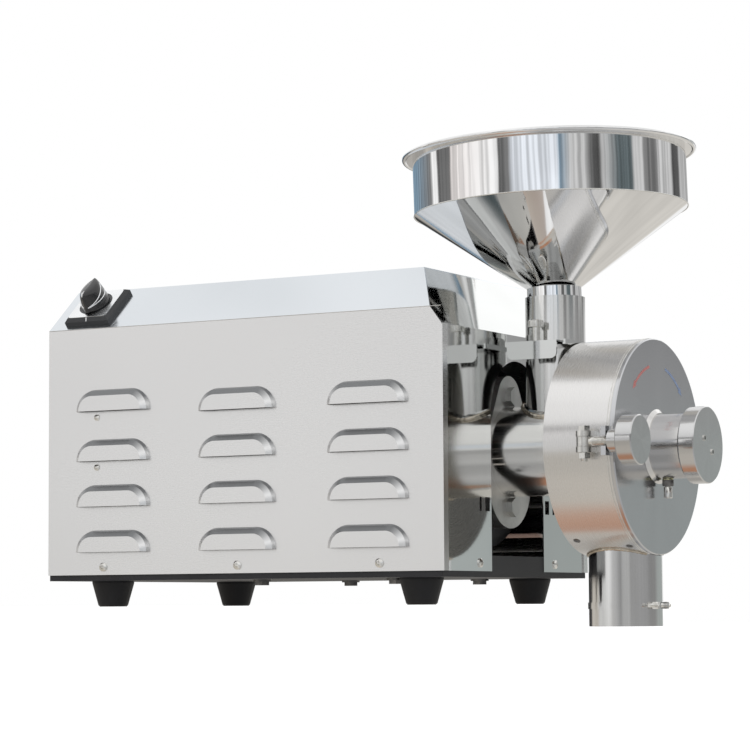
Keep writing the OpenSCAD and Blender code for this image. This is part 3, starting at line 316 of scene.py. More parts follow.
def streaked_metal(name, dark, light, rough, centre, streaks, wave, lift=3.0):
    """Polished tube or cone about an upright axis: long soft dents run up it, and the same streaks, lighter
    and darker in its colour, are painted reflection.
    """
    material, tree, shader = start_material(name, 1.0)
    along, _, facing = round_axis(tree, Z, centre)
    place = add_node(tree, "ShaderNodeVectorMath", operation="ADD")
    climb = add_node(tree, "ShaderNodeCombineXYZ")
    link(tree, math_node(tree, "MULTIPLY", along, lift), climb.inputs[2])
    link(tree, facing, place.inputs[0])
    link(tree, climb.outputs[0], place.inputs[1])
    soft = noise(tree, place.outputs[0], streaks, 1.0, 0.4)
    fine = noise(tree, facing, streaks * 20, 2.0, 0.6)
    # Painted reflection: the colour follows the streaks, as reflected surroundings would.
    colour = mix_colour(tree, spread(tree, soft, 0.0, 1.0, 0.35, 0.65), dark, light)
    roughness = spread(tree, fine, rough * 0.8, rough * 1.3)
    height = math_node(tree, "ADD", math_node(tree, "MULTIPLY", soft, wave),
                       math_node(tree, "MULTIPLY", fine, 0.01))
    finish_material(tree, shader, colour, roughness, height, depth=0.001, strength=0.3)
    return material


def plain_surface(name, dark, light, rough, grain, depth, strength,
                  metallic=0.0, specular=0.5, coat=0.0, cloud=14.0):
    """Paint, plastic, rubber or a casting: an even fine texture with soft changes of tone."""
    material, tree, shader = start_material(name, metallic, specular, coat)
    place = stretched(tree, (1, 1, 1))
    fine = noise(tree, place, grain, 2.0)
    clouds = noise(tree, place, cloud, 3.0)
    colour = mix_colour(tree, spread(tree, clouds, 0.0, 1.0), dark, light)
    roughness = math_node(tree, "ADD", spread(tree, fine, rough * 0.88, rough * 1.08),
                          spread(tree, clouds, 0.0, rough * 0.12))
    finish_material(tree, shader, colour, roughness, fine, depth, strength)
    return material


def grey(level):
    return (level, level, level)


# Materials, each with its dark and its light tone
def sheet_materials(m):
    # The satin sheet gets a painted dark reflection on the louvre shoulders and painted shade along their
    # open edges.
    m["side"] = pressed_sheet("satin_sheet", grey(0.755), grey(0.80), rough=0.26,
                              shoulder_painted_shade=(0.20, 0.205, 0.21), lip_painted_shade=(0.13, 0.07, 0.06))
    m["top"] = sheet_metal("polished_sheet", (0.64, 0.67, 0.70), (0.71, 0.74, 0.77), rough=0.13,
                           grain=(260, 4, 4), cloud=4.0, wave=2.0)
    m["mirror"] = sheet_metal("mirror_sheet", (0.66, 0.67, 0.66), (0.76, 0.77, 0.77), rough=0.05,
                              grain=(4, 4, 120), cloud=6.0, wave=5.0)


def pipe_materials(m):
    # The hopper, feed pipe and outlet pipe colours carry painted reflection streaks.
    m["hopper"] = streaked_metal("hopper_sheet", grey(0.76), grey(0.83), rough=0.04,
                                 centre=(FEED_X, 0, 0), streaks=3.0, wave=0.8, lift=8.0)
    m["feed"] = streaked_metal("feed_pipe_metal", (0.68, 0.68, 0.67), (0.76, 0.76, 0.75), rough=0.12,
                               centre=(FEED_X, 0, 0), streaks=2.0, wave=0.25)
    m["outlet"] = streaked_metal("outlet_pipe_metal", (0.68, 0.68, 0.67), (0.76, 0.76, 0.76), rough=0.12,
                                 centre=(OUTLET_X, 0, 0), streaks=2.0, wave=0.25)


def turned_materials(m):
    m["tube"] = turned_metal("bearing_tube_metal", (0.77, 0.76, 0.74), (0.86, 0.85, 0.83), rough=0.15,
                             brushed=0.8)
    # The drum's faces that look back along its axis, towards the casing, get painted shade.
    m["drum"] = turned_metal("drum_metal", (0.70, 0.69, 0.68), (0.80, 0.79, 0.78), rough=0.27,
                             brushed=0.8, back=(0.26, 0.25, 0.23))
    m["cover"] = turned_metal("cover_metal", (0.55, 0.555, 0.57), (0.60, 0.605, 0.62), rough=0.17)
    m["sleeve"] = turned_metal("sleeve_metal", (0.66, 0.65, 0.64), (0.76, 0.75, 0.73), rough=0.16,
                               brushed=0.6)
    m["wheel"] = turned_metal("wheel_metal", grey(0.60), grey(0.66), rough=0.15)
    m["nut"] = turned_metal("hand_nut_metal", grey(0.54), grey(0.62), rough=0.17,
                            centre=(0, CLAMP_Y, AXIS_Z))


def zinc_materials(m):
    m["bright"] = plain_surface("bright_zinc", (0.62, 0.61, 0.58), (0.84, 0.83, 0.80), rough=0.18,
                                grain=300.0, depth=0.0001, strength=0.15, metallic=1.0, cloud=120.0)
    m["yellow_zinc"] = plain_surface("yellow_zinc", (0.52, 0.50, 0.26), (0.78, 0.74, 0.45), rough=0.22,
                                     grain=300.0, depth=0.0001, strength=0.2, metallic=1.0, cloud=150.0)
    m["dark_zinc"] = plain_surface("dark_zinc", grey(0.10), (0.26, 0.25, 0.24), rough=0.30,
                                   grain=400.0, depth=0.0001, strength=0.3, metallic=1.0, cloud=150.0)


def casing_materials(m):
    m["pan"] = plain_surface("black_powder_coat", (0.020, 0.020, 0.022), (0.034, 0.034, 0.037), rough=0.40,
                             grain=1400.0, depth=0.0002, strength=0.3, specular=0.25)
    m["rubber"] = plain_surface("black_rubber", (0.016, 0.016, 0.017), (0.028, 0.028, 0.030), rough=0.50,
                                grain=700.0, depth=0.0002, strength=0.3, specular=0.25)
    m["cast"] = plain_surface("silver_casting", (0.42, 0.42, 0.41), (0.66, 0.66, 0.64), rough=0.38,
                              grain=260.0, depth=0.0004, strength=0.4, metallic=0.9, cloud=30.0)
    m["weld"] = plain_surface("weld_bead", (0.34, 0.27, 0.19), (0.74, 0.69, 0.60), rough=0.24,
                              grain=240.0, depth=0.0006, strength=0.6, metallic=1.0, cloud=140.0)


def motor_materials(m):
    m["motor"] = plain_surface("motor_enamel", (0.055, 0.058, 0.060), (0.11, 0.115, 0.12), rough=0.42,
                               grain=500.0, depth=0.0003, strength=0.3)
    m["motor_dark"] = plain_surface("motor_black_enamel", (0.018, 0.018, 0.020), (0.040, 0.040, 0.044),
                                    rough=0.40, grain=500.0, depth=0.0003, strength=0.3)
    m["iron"] = plain_surface("mill_iron", grey(0.16), grey(0.30), rough=0.50,
                              grain=300.0, depth=0.0005, strength=0.5, metallic=0.8, cloud=60.0)
    m["copper"] = plain_surface("varnished_copper", (0.30, 0.11, 0.04), (0.52, 0.22, 0.09), rough=0.34,
                                grain=900.0, depth=0.0006, strength=0.5, metallic=0.8, cloud=90.0)
    m["white_plastic"] = plain_surface("capacitor_plastic", (0.66, 0.66, 0.62), (0.74, 0.74, 0.70),
                                       rough=0.32, grain=500.0, depth=0.0001, strength=0.15)


def switch_materials(m):
    m["bezel"] = plain_surface("switch_black", (0.020, 0.021, 0.023), (0.034, 0.036, 0.039), rough=0.36,
                               grain=900.0, depth=0.0001, strength=0.2)
    m["gloss"] = plain_surface("knob_black", (0.008, 0.008, 0.009), (0.018, 0.018, 0.020), rough=0.20,
                               grain=700.0, depth=0.0001, strength=0.1, coat=0.3)
    m["silver"] = plain_surface("silver_foil", (0.78, 0.79, 0.80), (0.86, 0.87, 0.88), rough=0.24,
                                grain=900.0, depth=0.00005, strength=0.15, metallic=1.0, cloud=30.0)
    m["white"] = plain_surface("white_paint", grey(0.74), grey(0.80), rough=0.40,
                               grain=900.0, depth=0.00005, strength=0.2, cloud=200.0)


def arrow_materials(m):
    m["red"] = plain_surface("red_print", (0.52, 0.16, 0.15), (0.62, 0.24, 0.22), rough=0.35,
                             grain=900.0, depth=0.00003, strength=0.1, cloud=300.0)
    m["blue"] = plain_surface("blue_print", (0.20, 0.27, 0.44), (0.28, 0.36, 0.54), rough=0.35,
                              grain=900.0, depth=0.00003, strength=0.1, cloud=300.0)


def make_materials():
    m = {}
    sheet_materials(m)
    pipe_materials(m)
    turned_materials(m)
    zinc_materials(m)
    casing_materials(m)
    motor_materials(m)
    switch_materials(m)
    arrow_materials(m)
    return m


NODE_FINISH = {
    "pan": ["base_pan", "motor_cradle"],
    "rubber": ["rubber_feet", "cable_inlet"],
    "side": ["near_side_panel", "far_side_panel", "rear_panel"],
    "top": ["top_cover"],
    "mirror": ["end_panel", "gate_guide", "feed_gate"],
    "hopper": ["hopper"],
    "feed": ["feed_tube"],
    "outlet": ["outlet_pipe", "bag_band"],
    "tube": ["bearing_tube", "mill_shaft", "adjuster_stem"],
    "drum": ["grinding_drum"],
    "cover": ["drum_cover"],
    "sleeve": ["adjuster_sleeve"],
    "wheel": ["adjuster_wheel"],
    "nut": ["hand_nut"],
    "dark_zinc": ["motor_bolts"],
    "bright": ["foot_screws", "panel_screws", "shaft_bearings", "band_screw", "hinge_pin", "clamp_pivot",
               "clamp_ears", "cover_hinge", "wheel_screws", "swing_bolt", "disc_nut", "gate_knob"],
    "yellow_zinc": ["lock_screw"],
    "cast": ["bearing_flange", "flange_bolts"],
    "motor": ["motor_shell", "motor_rear_bell"],
    "motor_dark": ["motor_front_bell", "fan_cowl", "terminal_box", "cooling_fan"],
    "iron": ["stator_core", "rotor_core", "turning_disc", "fixed_disc", "feed_screw"],
    "copper": ["stator_coils"],
    "white_plastic": ["run_capacitor"],
    "bezel": ["switch_plate", "switch_body"],
    "gloss": ["switch_knob"],
}


def paint_nodes(m):
    for finish, names in NODE_FINISH.items():
        for name in names:
            data = NODES[name].data
            data.materials.clear()
            data.materials.append(m[finish])


# Mesh helpers
def new_piece(name, points, faces, material, body, matrix=None, sharp=35.0):
    """A piece on a body; edges that bend by more than sharp degrees stay sharp."""
    mesh = bpy.data.meshes.new(name)
    mesh.from_pydata([tuple(p) for p in points], [], faces)
    shape = bmesh.new()
    shape.from_mesh(mesh)
    bmesh.ops.recalc_face_normals(shape, faces=shape.faces)
    shape.to_mesh(mesh)
    shape.free()
    mesh.polygons.foreach_set("use_smooth", [True] * len(mesh.polygons))
    mesh.set_sharp_from_angle(angle=math.radians(sharp))
    mesh.materials.append(material)
    piece = bpy.data.objects.new(name, mesh)
    bpy.context.scene.collection.objects.link(piece)
    if matrix is not None:
        piece.matrix_world = matrix
    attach(piece, body)
    return piece


def grid_faces(rows, columns, wrap_rows, wrap_columns):
    """Four-sided faces between the neighbours in a grid of points, which may close on itself."""
    faces = []
    for i in range(rows if wrap_rows else rows - 1):
        for j in range(columns if wrap_columns else columns - 1):
            row, column = (i + 1) % rows, (j + 1) % columns
            faces.append((i * columns + j, i * columns + column, row * columns + column, row * columns + j))
    return faces


def lathe(name, profile, material, body, matrix, turns=64, knurl=None):
    """A solid turned from (radius, height) pairs; knurl is its first pair, its last and its depth."""
    points = []
    for i in range(turns):
        angle = 2 * math.pi * i / turns
        for j, (radius, height) in enumerate(profile):
            if knurl and knurl[0] <= j <= knurl[1] and i % 2:
                radius -= knurl[2]
            points.append((radius * math.cos(angle), radius * math.sin(angle), height))
    faces = grid_faces(turns, len(profile), True, False)
    first = [i * len(profile) for i in range(turns)]
    last = [i * len(profile) + len(profile) - 1 for i in range(turns)]
    faces += [tuple(first), tuple(reversed(last))]
    return new_piece(name, points, faces, material, body, matrix)


def sweep(name, path, radii, material, body, closed=False, sides=8, matrix=None):
    """A round bar along a path, with a radius for each point."""
    count = len(path)
    points = []
    normal = None
    for i in range(count):
        before = path[i - 1] if closed or i else path[0]
        after = path[(i + 1) % count] if closed or i < count - 1 else path[-1]
        ahead = (after - before).normalized()
        if normal is None:
            normal = ahead.orthogonal().normalized()
        normal = (normal - ahead * normal.dot(ahead)).normalized()
        side = ahead.cross(normal)
        for j in range(sides):
            angle = 2 * math.pi * j / sides
            points.append(path[i] + radii[i] * (math.cos(angle) * normal + math.sin(angle) * side))
    faces = grid_faces(count, sides, closed, True)
    if not closed:
        faces += [tuple(range(sides)), tuple(range((count - 1) * sides, count * sides))]
    return new_piece(name, points, faces, material, body, matrix, sharp=60.0)


def axes(at, along, side):
    """A matrix whose Z runs along one direction and whose X points to a side."""
    z = Vector(along).normalized()
    y = z.cross(Vector(side)).normalized()
    x = y.cross(z)
    return Matrix((
        (x.x, y.x, z.x, at[0]),
        (x.y, y.y, z.y, at[1]),
        (x.z, y.z, z.z, at[2]),
        (0, 0, 0, 1),
    ))


def bead_radii(count, radius, ripple):
    """The uneven scales of a hand-laid weld, as a quick ripple and a slow one."""
    quick, slow, slow_share = 1.9, 0.37, 0.6
    radii = []
    for i in range(count):
        swell = ripple * math.sin(i * quick) + slow_share * ripple * math.sin(i * slow + 1)
        radii.append(radius * (1 + swell))
    return radii


def around(count, point):
    """The points that a function gives for count equal steps round a circle."""
    return [point(2 * math.pi * i / count) for i in range(count)]


def thread(name, matrix, length, radius, pitch, material, body):
    """The raised ridge of a screw thread, which climbs along the matrix's Z."""
    per_turn, ridge = 20, pitch * 0.32
    count = int(length / pitch * per_turn)
    path = []
    for i in range(count):
        angle = 2 * math.pi * i / per_turn
        path.append(Vector((radius * math.cos(angle), radius * math.sin(angle), length * i / count)))
    return sweep(name, path, [ridge] * count, material, body, sides=4, matrix=matrix)


# Rotary switch: face plate, marks and knob, in the frame of the sloping panel
SLOPE = math.atan2(ROOF_Z - SHOULDER_Z, SLOPE_RUN)
OFF_SLOPE = Vector((0, -math.sin(SLOPE), math.cos(SLOPE)))
SWITCH_AT = Vector((middle_of("switch_plate", X), SLOPE_RUN / 2 - HALF_W, (ROOF_Z + SHOULDER_Z) / 2))
SWITCH_FRAME = axes(SWITCH_AT, OFF_SLOPE, (1, 0, 0))
PLATE_TOP = 0.007
KNOB_FOOT = 0.0073
KNOB_TOP = 0.0283
KNOB_R = 0.0165
KNOB_FRAME = SWITCH_FRAME @ Matrix.Translation((0, 0, KNOB_FOOT))
GRIP_FOOT = 0.0020
GRIP_RISE = KNOB_TOP - KNOB_FOOT - GRIP_FOOT


def make_face_plate(m):
    """A square foil with round corners and a round hole for the knob."""
    half, corner, hole, count = 0.0222, 0.0028, 0.0174, 96
    thick, sunk = 0.0004, 0.0002
    core = half - corner
    low, high = PLATE_TOP - sunk, PLATE_TOP + thick
    points = []
    for i in range(count):
        angle = 2 * math.pi * (i + 0.5) / count
        reach = Vector((math.cos(angle), math.sin(angle)))
        inner = reach * hole
        outer = reach * (half / max(abs(reach.x), abs(reach.y)))
        if abs(outer.x) > core and abs(outer.y) > core:
            centre = Vector((math.copysign(core, outer.x), math.copysign(core, outer.y)))
            outer = centre + (outer - centre).normalized() * corner
        points += [(outer.x, outer.y, low), (outer.x, outer.y, high)]
        points += [(inner.x, inner.y, high), (inner.x, inner.y, low)]
    new_piece("switch_face_plate", points, grid_faces(count, 4, True, True), m["silver"], "machine",
              SWITCH_FRAME)


def make_index_mark(m):
    """The white mark on the rim of the switch plate, where the pointer stands at rest."""
    path = [Vector((0, -0.0226, 0.0067)), Vector((0, -0.0239, 0.0054)), Vector((0, -0.0252, 0.0041))]
    sweep("switch_index_mark", path, [0.0007] * len(path), m["white"], "machine",
          matrix=SWITCH_FRAME)


def make_knob_skirt(m):
    """The round foot of the knob, with fine flutes on its rim; it replaces the node."""
    skirt = KNOB_R - 0.0020
    profile = [(0.004, -0.001), (skirt - 0.0003, 0.0), (skirt, 0.0004), (skirt - 0.0004, 0.0022),
               (skirt - 0.0009, 0.0030), (skirt - 0.0021, 0.0034), (0.0060, 0.0035)]
    knob = lathe("switch_knob_skirt", profile, m["gloss"], "selector", KNOB_FRAME,
                 turns=96, knurl=(1, 3, 0.0003))
    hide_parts("switch_knob")


def grip_section(share):
    """Half width and half length of the grip at a share of its height; the top fifth is rounded over."""
    width = 0.0126 - 0.0056 * share ** 1.7
    length = KNOB_R + 0.0022 - 0.0030 * share
    if share > 0.80:
        rest = (share - 0.80) / 0.20
        shrink = math.sqrt(max(0.0, 1 - rest * rest))
        width *= 0.25 + 0.75 * shrink
        length *= 0.90 + 0.10 * shrink
    return width, length


def make_knob_grip(m):
    """The grip across the knob, drawn in to a narrow bar towards both ends."""
    levels, count = 18, 48
    points = []
    for i in range(levels):
        share = i / (levels - 1)
        width, length = grip_section(share)
        for j in range(count):
            angle = 2 * math.pi * j / count
            taper = abs(math.cos(angle)) ** 1.5
            x = math.copysign(width * taper, math.cos(angle))
            points.append((x, length * math.sin(angle), GRIP_FOOT + share * GRIP_RISE))
    faces = grid_faces(levels, count, False, True)
    faces += [tuple(range(count)), tuple(range((levels - 1) * count, levels * count))]
    new_piece("switch_knob_grip", points, faces, m["gloss"], "selector", KNOB_FRAME,
              sharp=50.0)


def make_knob_lines(m):
    """Two lines on each flank of the grip, which start together at the pointer and part as they climb."""
    start, lift, steps = 0.18, 0.05, 14
    for side, word in ((-1, "left"), (1, "right")):
        for number, rise in enumerate((0.30, 0.72)):
            path = []
            for i in range(steps + 1):
                along = i / steps
                share = start + (rise - start) * along + lift
                width, length = grip_section(share)
                sine = -0.94 + 1.55 * along
                cosine = math.sqrt(max(0.0, 1 - sine * sine))
                x = side * (width * cosine ** 1.5 + 0.0001)
                path.append(Vector((x, length * sine, GRIP_FOOT + share * GRIP_RISE)))
            name = "switch_knob_line_" + word + "_" + str(number + 1)
            sweep(name, path, [0.0006] * len(path), m["silver"], "selector",
                  matrix=KNOB_FRAME)


def make_knob_pointer(m):
    path = [Vector((0, -0.0154, 0.0170)), Vector((0, -0.0148, 0.0200)), Vector((0, -0.0128, 0.0209)),
            Vector((0, -0.0090, 0.0209))]
    sweep("switch_knob_pointer", path, [0.0007, 0.0009, 0.0009, 0.0006], m["white"], "selector",
          matrix=KNOB_FRAME)


# Welds, seams and folds
WELD_RIPPLE = 0.12
FOLD_RIPPLE = 0.05


def make_feed_weld(m):
    """The bead where the upright feed tube meets the bearing tube."""
    saddle_r, collar_r, count = FEED_R + 0.0032, TUBE_R + 0.0012, 150

    def saddle(angle):
        y = saddle_r * math.sin(angle)
        return Vector((FEED_X + saddle_r * math.cos(angle), y, AXIS_Z + math.sqrt(collar_r ** 2 - y * y)))

    sweep("feed_weld", around(count, saddle), bead_radii(count, 0.0019, WELD_RIPPLE), m["weld"],
          "machine", closed=True)


def make_drum_back_weld(m):
    """The bead where the bearing tube meets the back of the drum."""
    radius, x, count = TUBE_R + 0.0004, DRUM_BACK_X - 0.0004, 170
    path = around(count, lambda a: Vector((x, radius * math.cos(a), AXIS_Z + radius * math.sin(a))))
    sweep("drum_back_weld", path, bead_radii(count, 0.0017, WELD_RIPPLE), m["weld"],
          "machine", closed=True)


def make_outlet_weld(m):
    """The bead where the outlet pipe meets the drum, as far as the cover's joint."""
    radius, proud_r, steps = OUTLET_R + 0.0003, DRUM_R + 0.0004, 140
    path = []
    for i in range(steps + 1):
        angle = math.radians(32) + math.radians(296) * i / steps
        x, y = OUTLET_X + radius * math.cos(angle), radius * math.sin(angle)
        if x < COVER_BACK_X - 0.001:
            path.append(Vector((x, y, AXIS_Z - math.sqrt(proud_r ** 2 - y * y))))
    sweep("outlet_weld", path, bead_radii(len(path), 0.0014, WELD_RIPPLE), m["weld"],
          "machine")


def make_hopper_seam(m):
    """The seam at the hopper's waist, which leans with the hopper."""
    turn = Matrix.Rotation(math.radians(-LEAN_DEG), 4, "Y")
    lean = Matrix.Translation(LEAN_AT) @ turn @ Matrix.Translation(-LEAN_AT)
    radius, count = HOPPER_R + 0.0001, 180

    def waist(angle):
        return lean @ Vector((FEED_X + radius * math.cos(angle), radius * math.sin(angle), HOPPER_WAIST))

    sweep("hopper_waist_seam", around(count, waist), [0.0006] * count, m["bright"],
          "machine", closed=True)


def make_drum_rings(m):
    """Two bright edges round the front of the drum, close behind its cover."""
    count = 180
    for name, x, radius in (("cover_joint_ring", COVER_BACK_X - 0.0004, 0.0005),
                            ("drum_lip_ring", COVER_BACK_X - 0.0026, 0.0004)):
        path = around(count, lambda a: Vector((x, DRUM_R * math.cos(a), AXIS_Z + DRUM_R * math.sin(a))))
        sweep(name, path, [radius] * count, m["bright"], "machine", closed=True)


def make_cover_fold_shade(m):
    """Thin grey bars along the folds between the slopes of the top cover and its upright edges: painted shade
    in the fine gap where each fold sits over a side panel.
    """
    inset, steps = 0.0004, 30
    run = CASE_FRONT_X - CASE_BACK_X - 2 * inset
    for name, y in (("cover_fold_shade_near", -HALF_W), ("cover_fold_shade_far", HALF_W)):
        path = [Vector((CASE_BACK_X + inset + run * i / steps, y, SHOULDER_Z)) for i in range(steps + 1)]
        sweep(name, path, bead_radii(len(path), 0.00035, FOLD_RIPPLE), m["cast"], "machine")


def make_drum_hole_shade(m):
    """Two small dark discs sunk low on the near side of the drum, at angles from its top in degrees: painted
    shade of two drilled holes.
    """
    sunk = 0.0012
    profile = [(0.0001, 0.0), (0.0031, 0.0), (0.0031, 0.0004), (0.0022, 0.0007), (0.0001, 0.0008)]
    for number, (x, turned) in enumerate(((DRUM_BACK_X + 0.009, 150), (COVER_BACK_X - 0.009, 157))):
        tilt = math.radians(turned)
        outward = Vector((0, -math.sin(tilt), math.cos(tilt)))
        at = Vector((x, 0, AXIS_Z)) + outward * (DRUM_R - sunk)
        lathe("drum_hole_shade_" + str(number + 1), profile, m["dark_zinc"], "machine",
              axes(at, outward, (1, 0, 0)), turns=32)


# Screws
def make_lock_screw(m):
    """The screw under the sleeve: its stud, which replaces the node, and its nut and washer."""
    down = axes((LOCK_X, 0, AXIS_Z - SLEEVE_R), (0, 0, -1), (1, 0, 0))
    stud = [(0.0001, -0.0115), (0.0028, -0.0115), (0.0028, 0.0072), (0.0036, 0.0074), (0.0040, 0.0080),
            (0.0040, 0.0172), (0.0034, 0.0180), (0.0001, 0.0180)]
    nut = [(0.0029, 0.0003), (0.0046, 0.0003), (0.0052, 0.0009), (0.0052, 0.0062), (0.0046, 0.0068),
           (0.0029, 0.0068)]
    washer = [(0.0029, 0.0002), (0.0050, 0.0002), (0.0050, 0.0009), (0.0029, 0.0009)]
    screw = lathe("lock_screw_stud", stud, m["bright"], "lock", down, turns=48)
    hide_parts("lock_screw")
    lathe("lock_nut", nut, m["dark_zinc"], "lock", down, knurl=(2, 3, 0.0004))
    lathe("lock_washer", washer, m["yellow_zinc"], "lock", down, turns=48)


def make_threads(m):
    """The threads of the swing bolt, up to its hand nut, and of the lower end of its pivot."""
    bolt_x, pivot_z = CLAMP_X + 0.0085, AXIS_Z - 0.0177
    along_bolt = axes((bolt_x, CLAMP_Y, AXIS_Z), (1, 0, 0), (0, 0, 1))
    up_pivot = axes((CLAMP_X, CLAMP_Y, pivot_z), (0, 0, 1), (1, 0, 0))
    thread("swing_bolt_thread", along_bolt, length=0.0250, radius=0.0040, pitch=0.00125,
           material=m["bright"], body="swing_arm")
    thread("clamp_pivot_thread", up_pivot, length=0.0025, radius=0.0030, pitch=0.0010,
           material=m["bright"], body="machine")


def make_wheel_sockets(m):
    """Dark hexagons on the two screws on the wheel's face, which stand for their sockets: painted shade of
    the recesses.
    """
    profile = [(0.0001, 0.0), (0.0019, 0.0), (0.0019, 0.0004), (0.0001, 0.0004)]
    node = "wheel_screws"
    x = high_of(node, X) - 0.0003
    left, right = low_of(node, Y) + SCREW_HEAD_R, high_of(node, Y) - SCREW_HEAD_R
    lower, upper = low_of(node, Z) + SCREW_HEAD_R, high_of(node, Z) - SCREW_HEAD_R
    for number, (y, z) in enumerate(((left, upper), (right, lower))):
        lathe("wheel_socket_" + str(number + 1), profile, m["dark_zinc"], "wheel",
              axes((x, y, z), (1, 0, 0), (0, 0, 1)), turns=6)


# Marks on the cover
def make_turn_arrows(m):
    """Plain arrows on the cover that show the two ways to turn the wheel, at angles from its top."""
    radius, half, steps = 0.0750, 0.0013, 12
    head_half, head_deg = 0.0033, 6
    thick, sunk = 0.00015, 0.0001
    for name, first, last, paint in (("cover_arrow_left", -14, -42, "red"),
                                     ("cover_arrow_right", 14, 42, "blue")):
        angles = [math.radians(first + (last - first) * i / steps) for i in range(steps + 1)]
        base, tip = math.radians(last), math.radians(last + math.copysign(head_deg, last))
        outline = [(angle, radius + half) for angle in angles]
        outline += [(base, radius + head_half), (tip, radius), (base, radius - head_half)]
        outline += [(angle, radius - half) for angle in reversed(angles)]
        points, count = [], len(outline)
        for x in (COVER_FRONT_X - sunk, COVER_FRONT_X + thick):
            points += [(x, r * math.sin(a), AXIS_Z + r * math.cos(a)) for a, r in outline]
        faces = [tuple(range(count)), tuple(range(count, 2 * count))]
        faces += [(i, (i + 1) % count, count + (i + 1) % count, count + i) for i in range(count)]
        new_piece(name, points, faces, m[paint], "machine")


def make_pieces(m):
    make_face_plate(m)
    make_index_mark(m)
    make_knob_skirt(m)
    make_knob_grip(m)
    make_knob_lines(m)
    make_knob_pointer(m)
    make_feed_weld(m)
    make_drum_back_weld(m)
    make_outlet_weld(m)
    make_hopper_seam(m)
    make_drum_rings(m)
    make_cover_fold_shade(m)
    make_drum_hole_shade(m)
    make_lock_screw(m)
    make_threads(m)
    make_wheel_sockets(m)
    make_turn_arrows(m)


# Studio: floor, bench, lamps and the surroundings that the metal reflects
FLOOR_TOP = -0.065
FLOOR_LOW = (-6, -6, -0.075)
FLOOR_HIGH = (6, 6, FLOOR_TOP)
BENCH_LOW = (-0.34, -0.26, FLOOR_TOP)
BENCH_HIGH = (0.272, 0.26, -0.0004)
FLOOR_GLOW = 0.70
WORLD_LIGHT = 0.38
LAMP_AIM = Vector((0.05, 0, 0.2))
ROOM_RADIUS = 5.0
ROOM_CENTRE = Vector((0.15, 0.0, 0.2))
STRIPES_ROUND = 110.0
STRIPES_PER_DEGREE = 0.06
STRIPE_STRENGTH = 0.4


def box_mesh(name, low, high):
    mesh = bpy.data.meshes.new(name)
    shape = bmesh.new()
    bmesh.ops.create_cube(shape, size=1.0)
    for vertex in shape.verts:
        vertex.co = Vector(low[i] + (vertex.co[i] + 0.5) * (high[i] - low[i]) for i in range(3))
    shape.to_mesh(mesh)
    shape.free()
    thing = bpy.data.objects.new(name, mesh)
    bpy.context.scene.collection.objects.link(thing)
    return thing


def ray_share(tree):
    """1 for camera, glossy and transmission rays, else 0."""
    path = add_node(tree, "ShaderNodeLightPath")
    some = math_node(tree, "MAXIMUM", path.outputs["Is Camera Ray"], path.outputs["Is Glossy Ray"])
    return math_node(tree, "MAXIMUM", some, path.outputs["Is Transmission Ray"])


def make_floor():
    """A pale floor and a bench under the casing; the outlet pipe hangs over the bench's edge."""
    material = bpy.data.materials.new("studio_floor")
    material.use_nodes = True
    tree = material.node_tree
    tree.nodes.clear()
    out = add_node(tree, "ShaderNodeOutputMaterial")
    matte = add_node(tree, "ShaderNodeBsdfDiffuse")
    matte.inputs["Color"].default_value = (0.86, 0.86, 0.86, 1)
    glow = add_node(tree, "ShaderNodeEmission")
    link(tree, math_node(tree, "MULTIPLY", ray_share(tree), FLOOR_GLOW), glow.inputs["Strength"])
    both = add_node(tree, "ShaderNodeAddShader")
    link(tree, matte.outputs[0], both.inputs[0])
    link(tree, glow.outputs[0], both.inputs[1])
    link(tree, both.outputs[0], out.inputs["Surface"])
    floor = box_mesh("studio_floor", FLOOR_LOW, FLOOR_HIGH)
    bench = box_mesh("studio_bench", BENCH_LOW, BENCH_HIGH)
    for thing in (floor, bench):
        thing.data.materials.append(material)
        thing.visible_glossy = False


def make_world():
    """White where it is seen, and dimmer where it only lights the machine."""
    world = bpy.data.worlds.new("studio")
    bpy.context.scene.world = world
    world.use_nodes = True
    tree = world.node_tree
    tree.nodes.clear()
    out = add_node(tree, "ShaderNodeOutputWorld")
    glow = add_node(tree, "ShaderNodeBackground")
    glow.inputs["Color"].default_value = (1, 1, 1, 1)
    seen = math_node(tree, "MULTIPLY", ray_share(tree), 1 - WORLD_LIGHT)
    link(tree, math_node(tree, "ADD", seen, WORLD_LIGHT), glow.inputs["Strength"])
    link(tree, glow.outputs[0], out.inputs["Surface"])


def area_lamp(name, place, size, power):
    data = bpy.data.lights.new(name, "AREA")
    data.shape = "RECTANGLE"
    data.size, data.size_y = size
    data.energy = power
    lamp = bpy.data.objects.new(name, data)
    bpy.context.scene.collection.objects.link(lamp)
    lamp.location = place
    lamp.rotation_mode = "QUATERNION"
    lamp.rotation_quaternion = (LAMP_AIM - Vector(place)).to_track_quat("-Z", "Y")
    lamp.visible_glossy = False


# Tones of the room round the machine, as the soft stripes that a polished sheet shows
WARM = (0.70, 0.675, 0.63)
OLIVE = (0.46, 0.44, 0.41)
BROWN = (0.57, 0.54, 0.49)
BEIGE = (0.64, 0.60, 0.54)
COPPER = (0.56, 0.29, 0.18)
DEEP = (0.22, 0.14, 0.10)
UMBER = (0.50, 0.44, 0.40)
COCOA = (0.40, 0.33, 0.28)
SLATE = (0.42, 0.45, 0.44)
BLUE = (0.24, 0.35, 0.45)
PINK = (0.92, 0.87, 0.85)
SKY = (0.84, 0.88, 0.94)
INK = (0.13, 0.16, 0.17)

